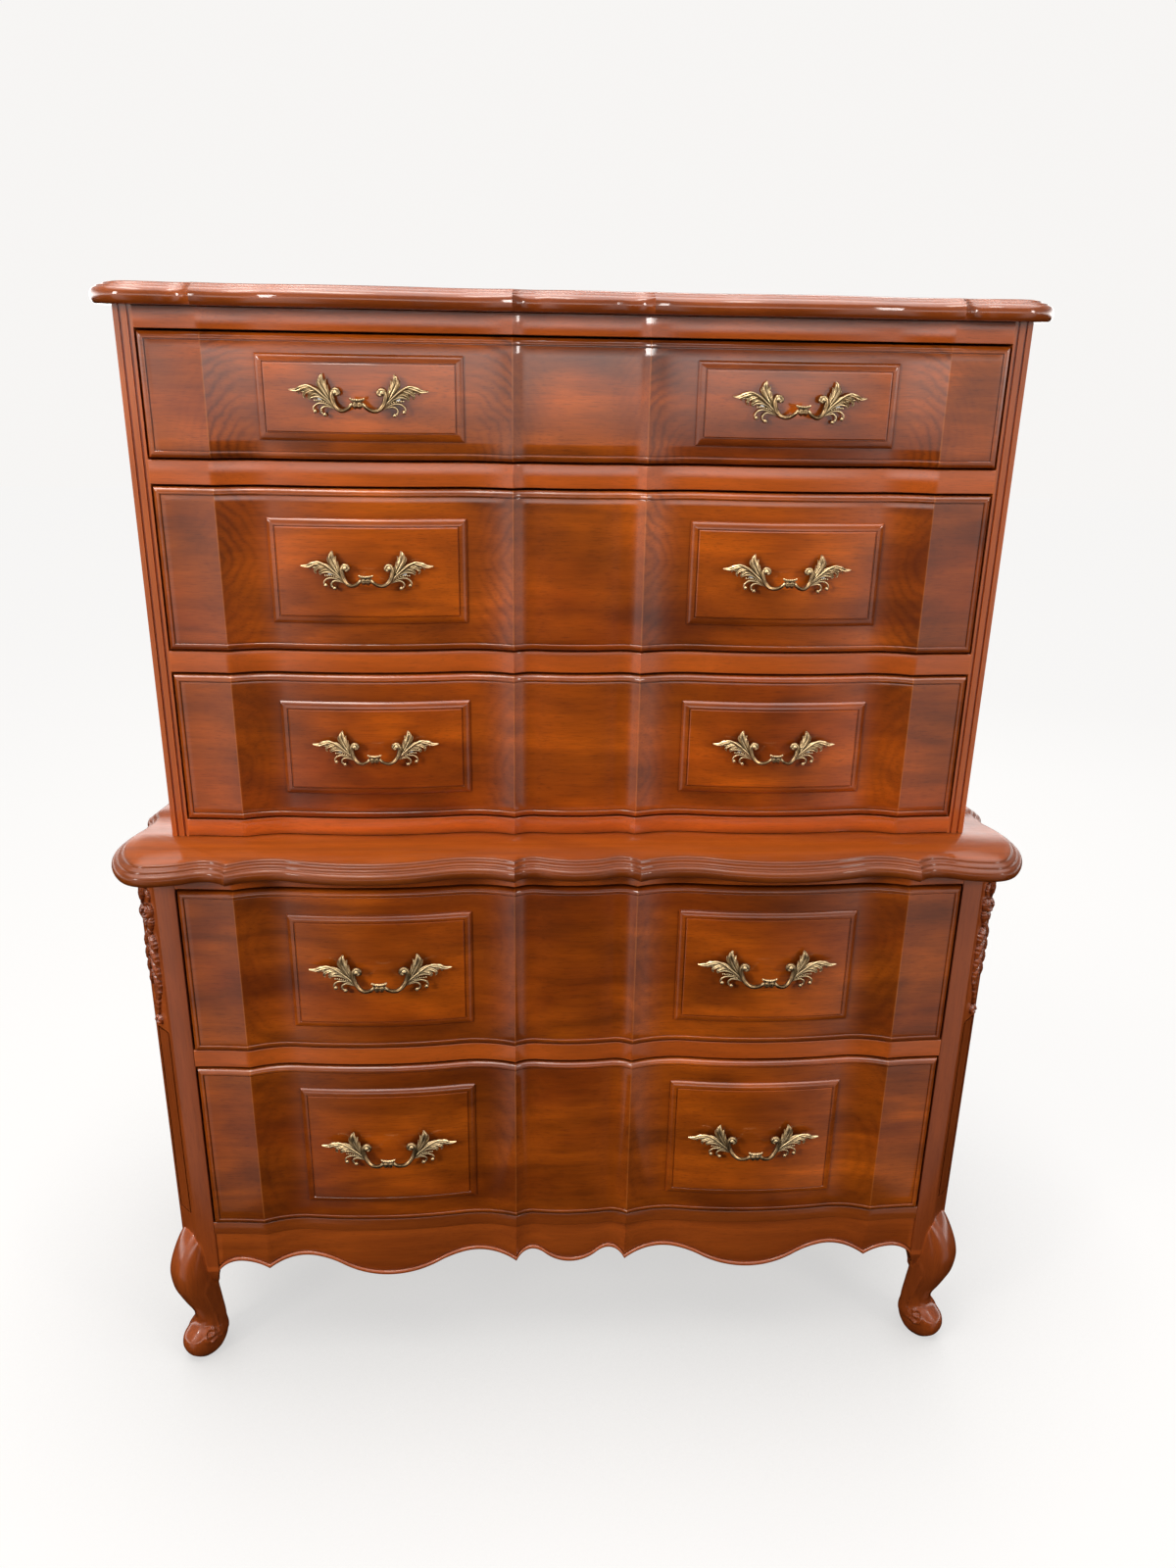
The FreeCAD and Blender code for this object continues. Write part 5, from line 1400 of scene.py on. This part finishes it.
# What the gloss mirrors: a room brightest at eye level with a bright strip aloft, and at either
# side a window card that only gloss sees, fading towards the floor and towards the middle.
mirroredRoom = {"low": -0.10, "eye": 0.0, "high": 0.2, "eyeGlow": 4.4, "ceilingGlow": 0.4,
                "aloftLow": 0.62, "aloftHigh": 0.8, "aloft": 5.0}
windowCards = {"left": (-2.4, -0.3, 1.0), "right": (0.3, 2.4, 0.8), "front": -1.5, "low": -0.9,
               "high": 1.35, "lowGlow": 0.45, "highGlow": 1.7, "near": 0.3, "full": 1.02,
               "feather": 2.2}


def makeWorld():
    world = bpy.data.worlds.new("paleRoom")
    world.use_nodes = True
    tree = world.node_tree
    look = mirroredRoom
    path = addNode(tree, "ShaderNodeLightPath").outputs
    way = spotNode(tree, addNode(tree, "ShaderNodeTexCoord").outputs["Generated"])["Z"]
    above = rangeNode(tree, way, look["eye"], look["high"], look["eyeGlow"], look["ceilingGlow"])
    aloft = rangeNode(tree, way, look["aloftLow"], look["aloftHigh"], 0.0, look["aloft"])
    ceiling = product(tree, rangeNode(tree, way, look["low"], look["eye"]), above)
    unseen = blendNode(tree, path["Is Glossy Ray"], stageLook["roomLight"],
                       mathNode(tree, "ADD", ceiling, aloft))
    plugIn(tree, tree.nodes["Background"], {
        "Strength": blendNode(tree, path["Is Camera Ray"], unseen, stageLook["seenRoom"]),
        "Color": stageLook["daylight"]})
    bpy.context.scene.world = world


def makeWindowCards():
    look = windowCards
    for hand in ("left", "right"):
        start, end, share = look[hand]
        material, tree, shader, place = newMaterial(f"{hand}WindowGlow")
        spot = spotNode(tree, place)
        aside = rangeNode(tree, mathNode(tree, "ABSOLUTE", spot["X"]), look["near"], look["full"])
        plugIn(tree, shader, {
            "Emission Strength": rangeNode(tree, spot["Z"], look["low"], look["high"],
                                           share * look["lowGlow"], share * look["highGlow"]),
            "Alpha": mathNode(tree, "POWER", aside, look["feather"]),
            "Emission Color": stageLook["daylight"], "Base Color": black,
            "Specular IOR Level": 0})
        front, low, high = look["front"], look["low"], look["high"]
        card = stageSheet(f"{hand}WindowCard", [(start, front, high), (end, front, high),
                                                (end, front, low), (start, front, low)], material)
        card.visible_camera = card.visible_diffuse = card.visible_shadow = False


# Each lamp: its place, where it points, its size, its watts and its tint.
lamps = {
    "leftWindow": ((-2.1, -1.9, 1.8), (0, 0, 0.9), (0.5, 0.9), 39, (1.0, 0.96, 0.93)),
    "rightWindow": ((2.3, -2.1, 1.8), (0, 0, 0.9), (0.5, 0.9), 29, (1.0, 0.96, 0.92)),
    "ceilingLamp": ((-0.9, -0.9, 3.6), (0, -0.2, 1.0), (1.8, 0.8), 52, (1.0, 0.94, 0.86)),
    "rearWindow": ((0.7, 2.4, 1.7), (0, 0, 0.7), (1.2, 0.9), 24, (1.0, 0.97, 0.94)),
}


def makeLamps():
    for name, (place, target, size, power, tint) in lamps.items():
        data = bpy.data.lights.new(name, "AREA")
        data.shape, data.size, data.size_y = "RECTANGLE", *size
        data.energy, data.color = power, tint
        lamp = linkObject(name, data)
        lamp.location = place
        way = Vector(target) - Vector(place)
        lamp.rotation_euler = way.to_track_quat("-Z", "Y").to_euler()


camera = {"place": (-0.0584, -1.3924, 1.226), "yaw": 0.0587, "pitch": 0.359, "roll": 0.0187,
          "focal": 1202, "frame": 1600, "sensor": 36, "clip": (0.05, 50)}


def makeCamera():
    yaw, pitch, roll = camera["yaw"], camera["pitch"], camera["roll"]
    ahead = Vector((math.sin(yaw) * math.cos(pitch), math.cos(yaw) * math.cos(pitch),
                    -math.sin(pitch)))
    right = Vector((math.cos(yaw), -math.sin(yaw), 0))
    up = right.cross(ahead)
    tiltedRight = right * math.cos(roll) + up * math.sin(roll)
    tiltedUp = up * math.cos(roll) - right * math.sin(roll)
    data = bpy.data.cameras.new("viewCamera")
    data.sensor_fit, data.sensor_width = "AUTO", camera["sensor"]
    data.lens = camera["sensor"] * camera["focal"] / camera["frame"]
    data.clip_start, data.clip_end = camera["clip"]
    view = linkObject("viewCamera", data)
    turn = Matrix((tiltedRight, tiltedUp, -ahead)).transposed().to_4x4()
    view.matrix_world = Matrix.Translation(camera["place"]) @ turn
    bpy.context.scene.camera = view


makeFloor()
makeWorld()
makeWindowCards()
makeLamps()
makeCamera()
bpy.context.scene.view_settings.view_transform = "Standard"
print("stage set")
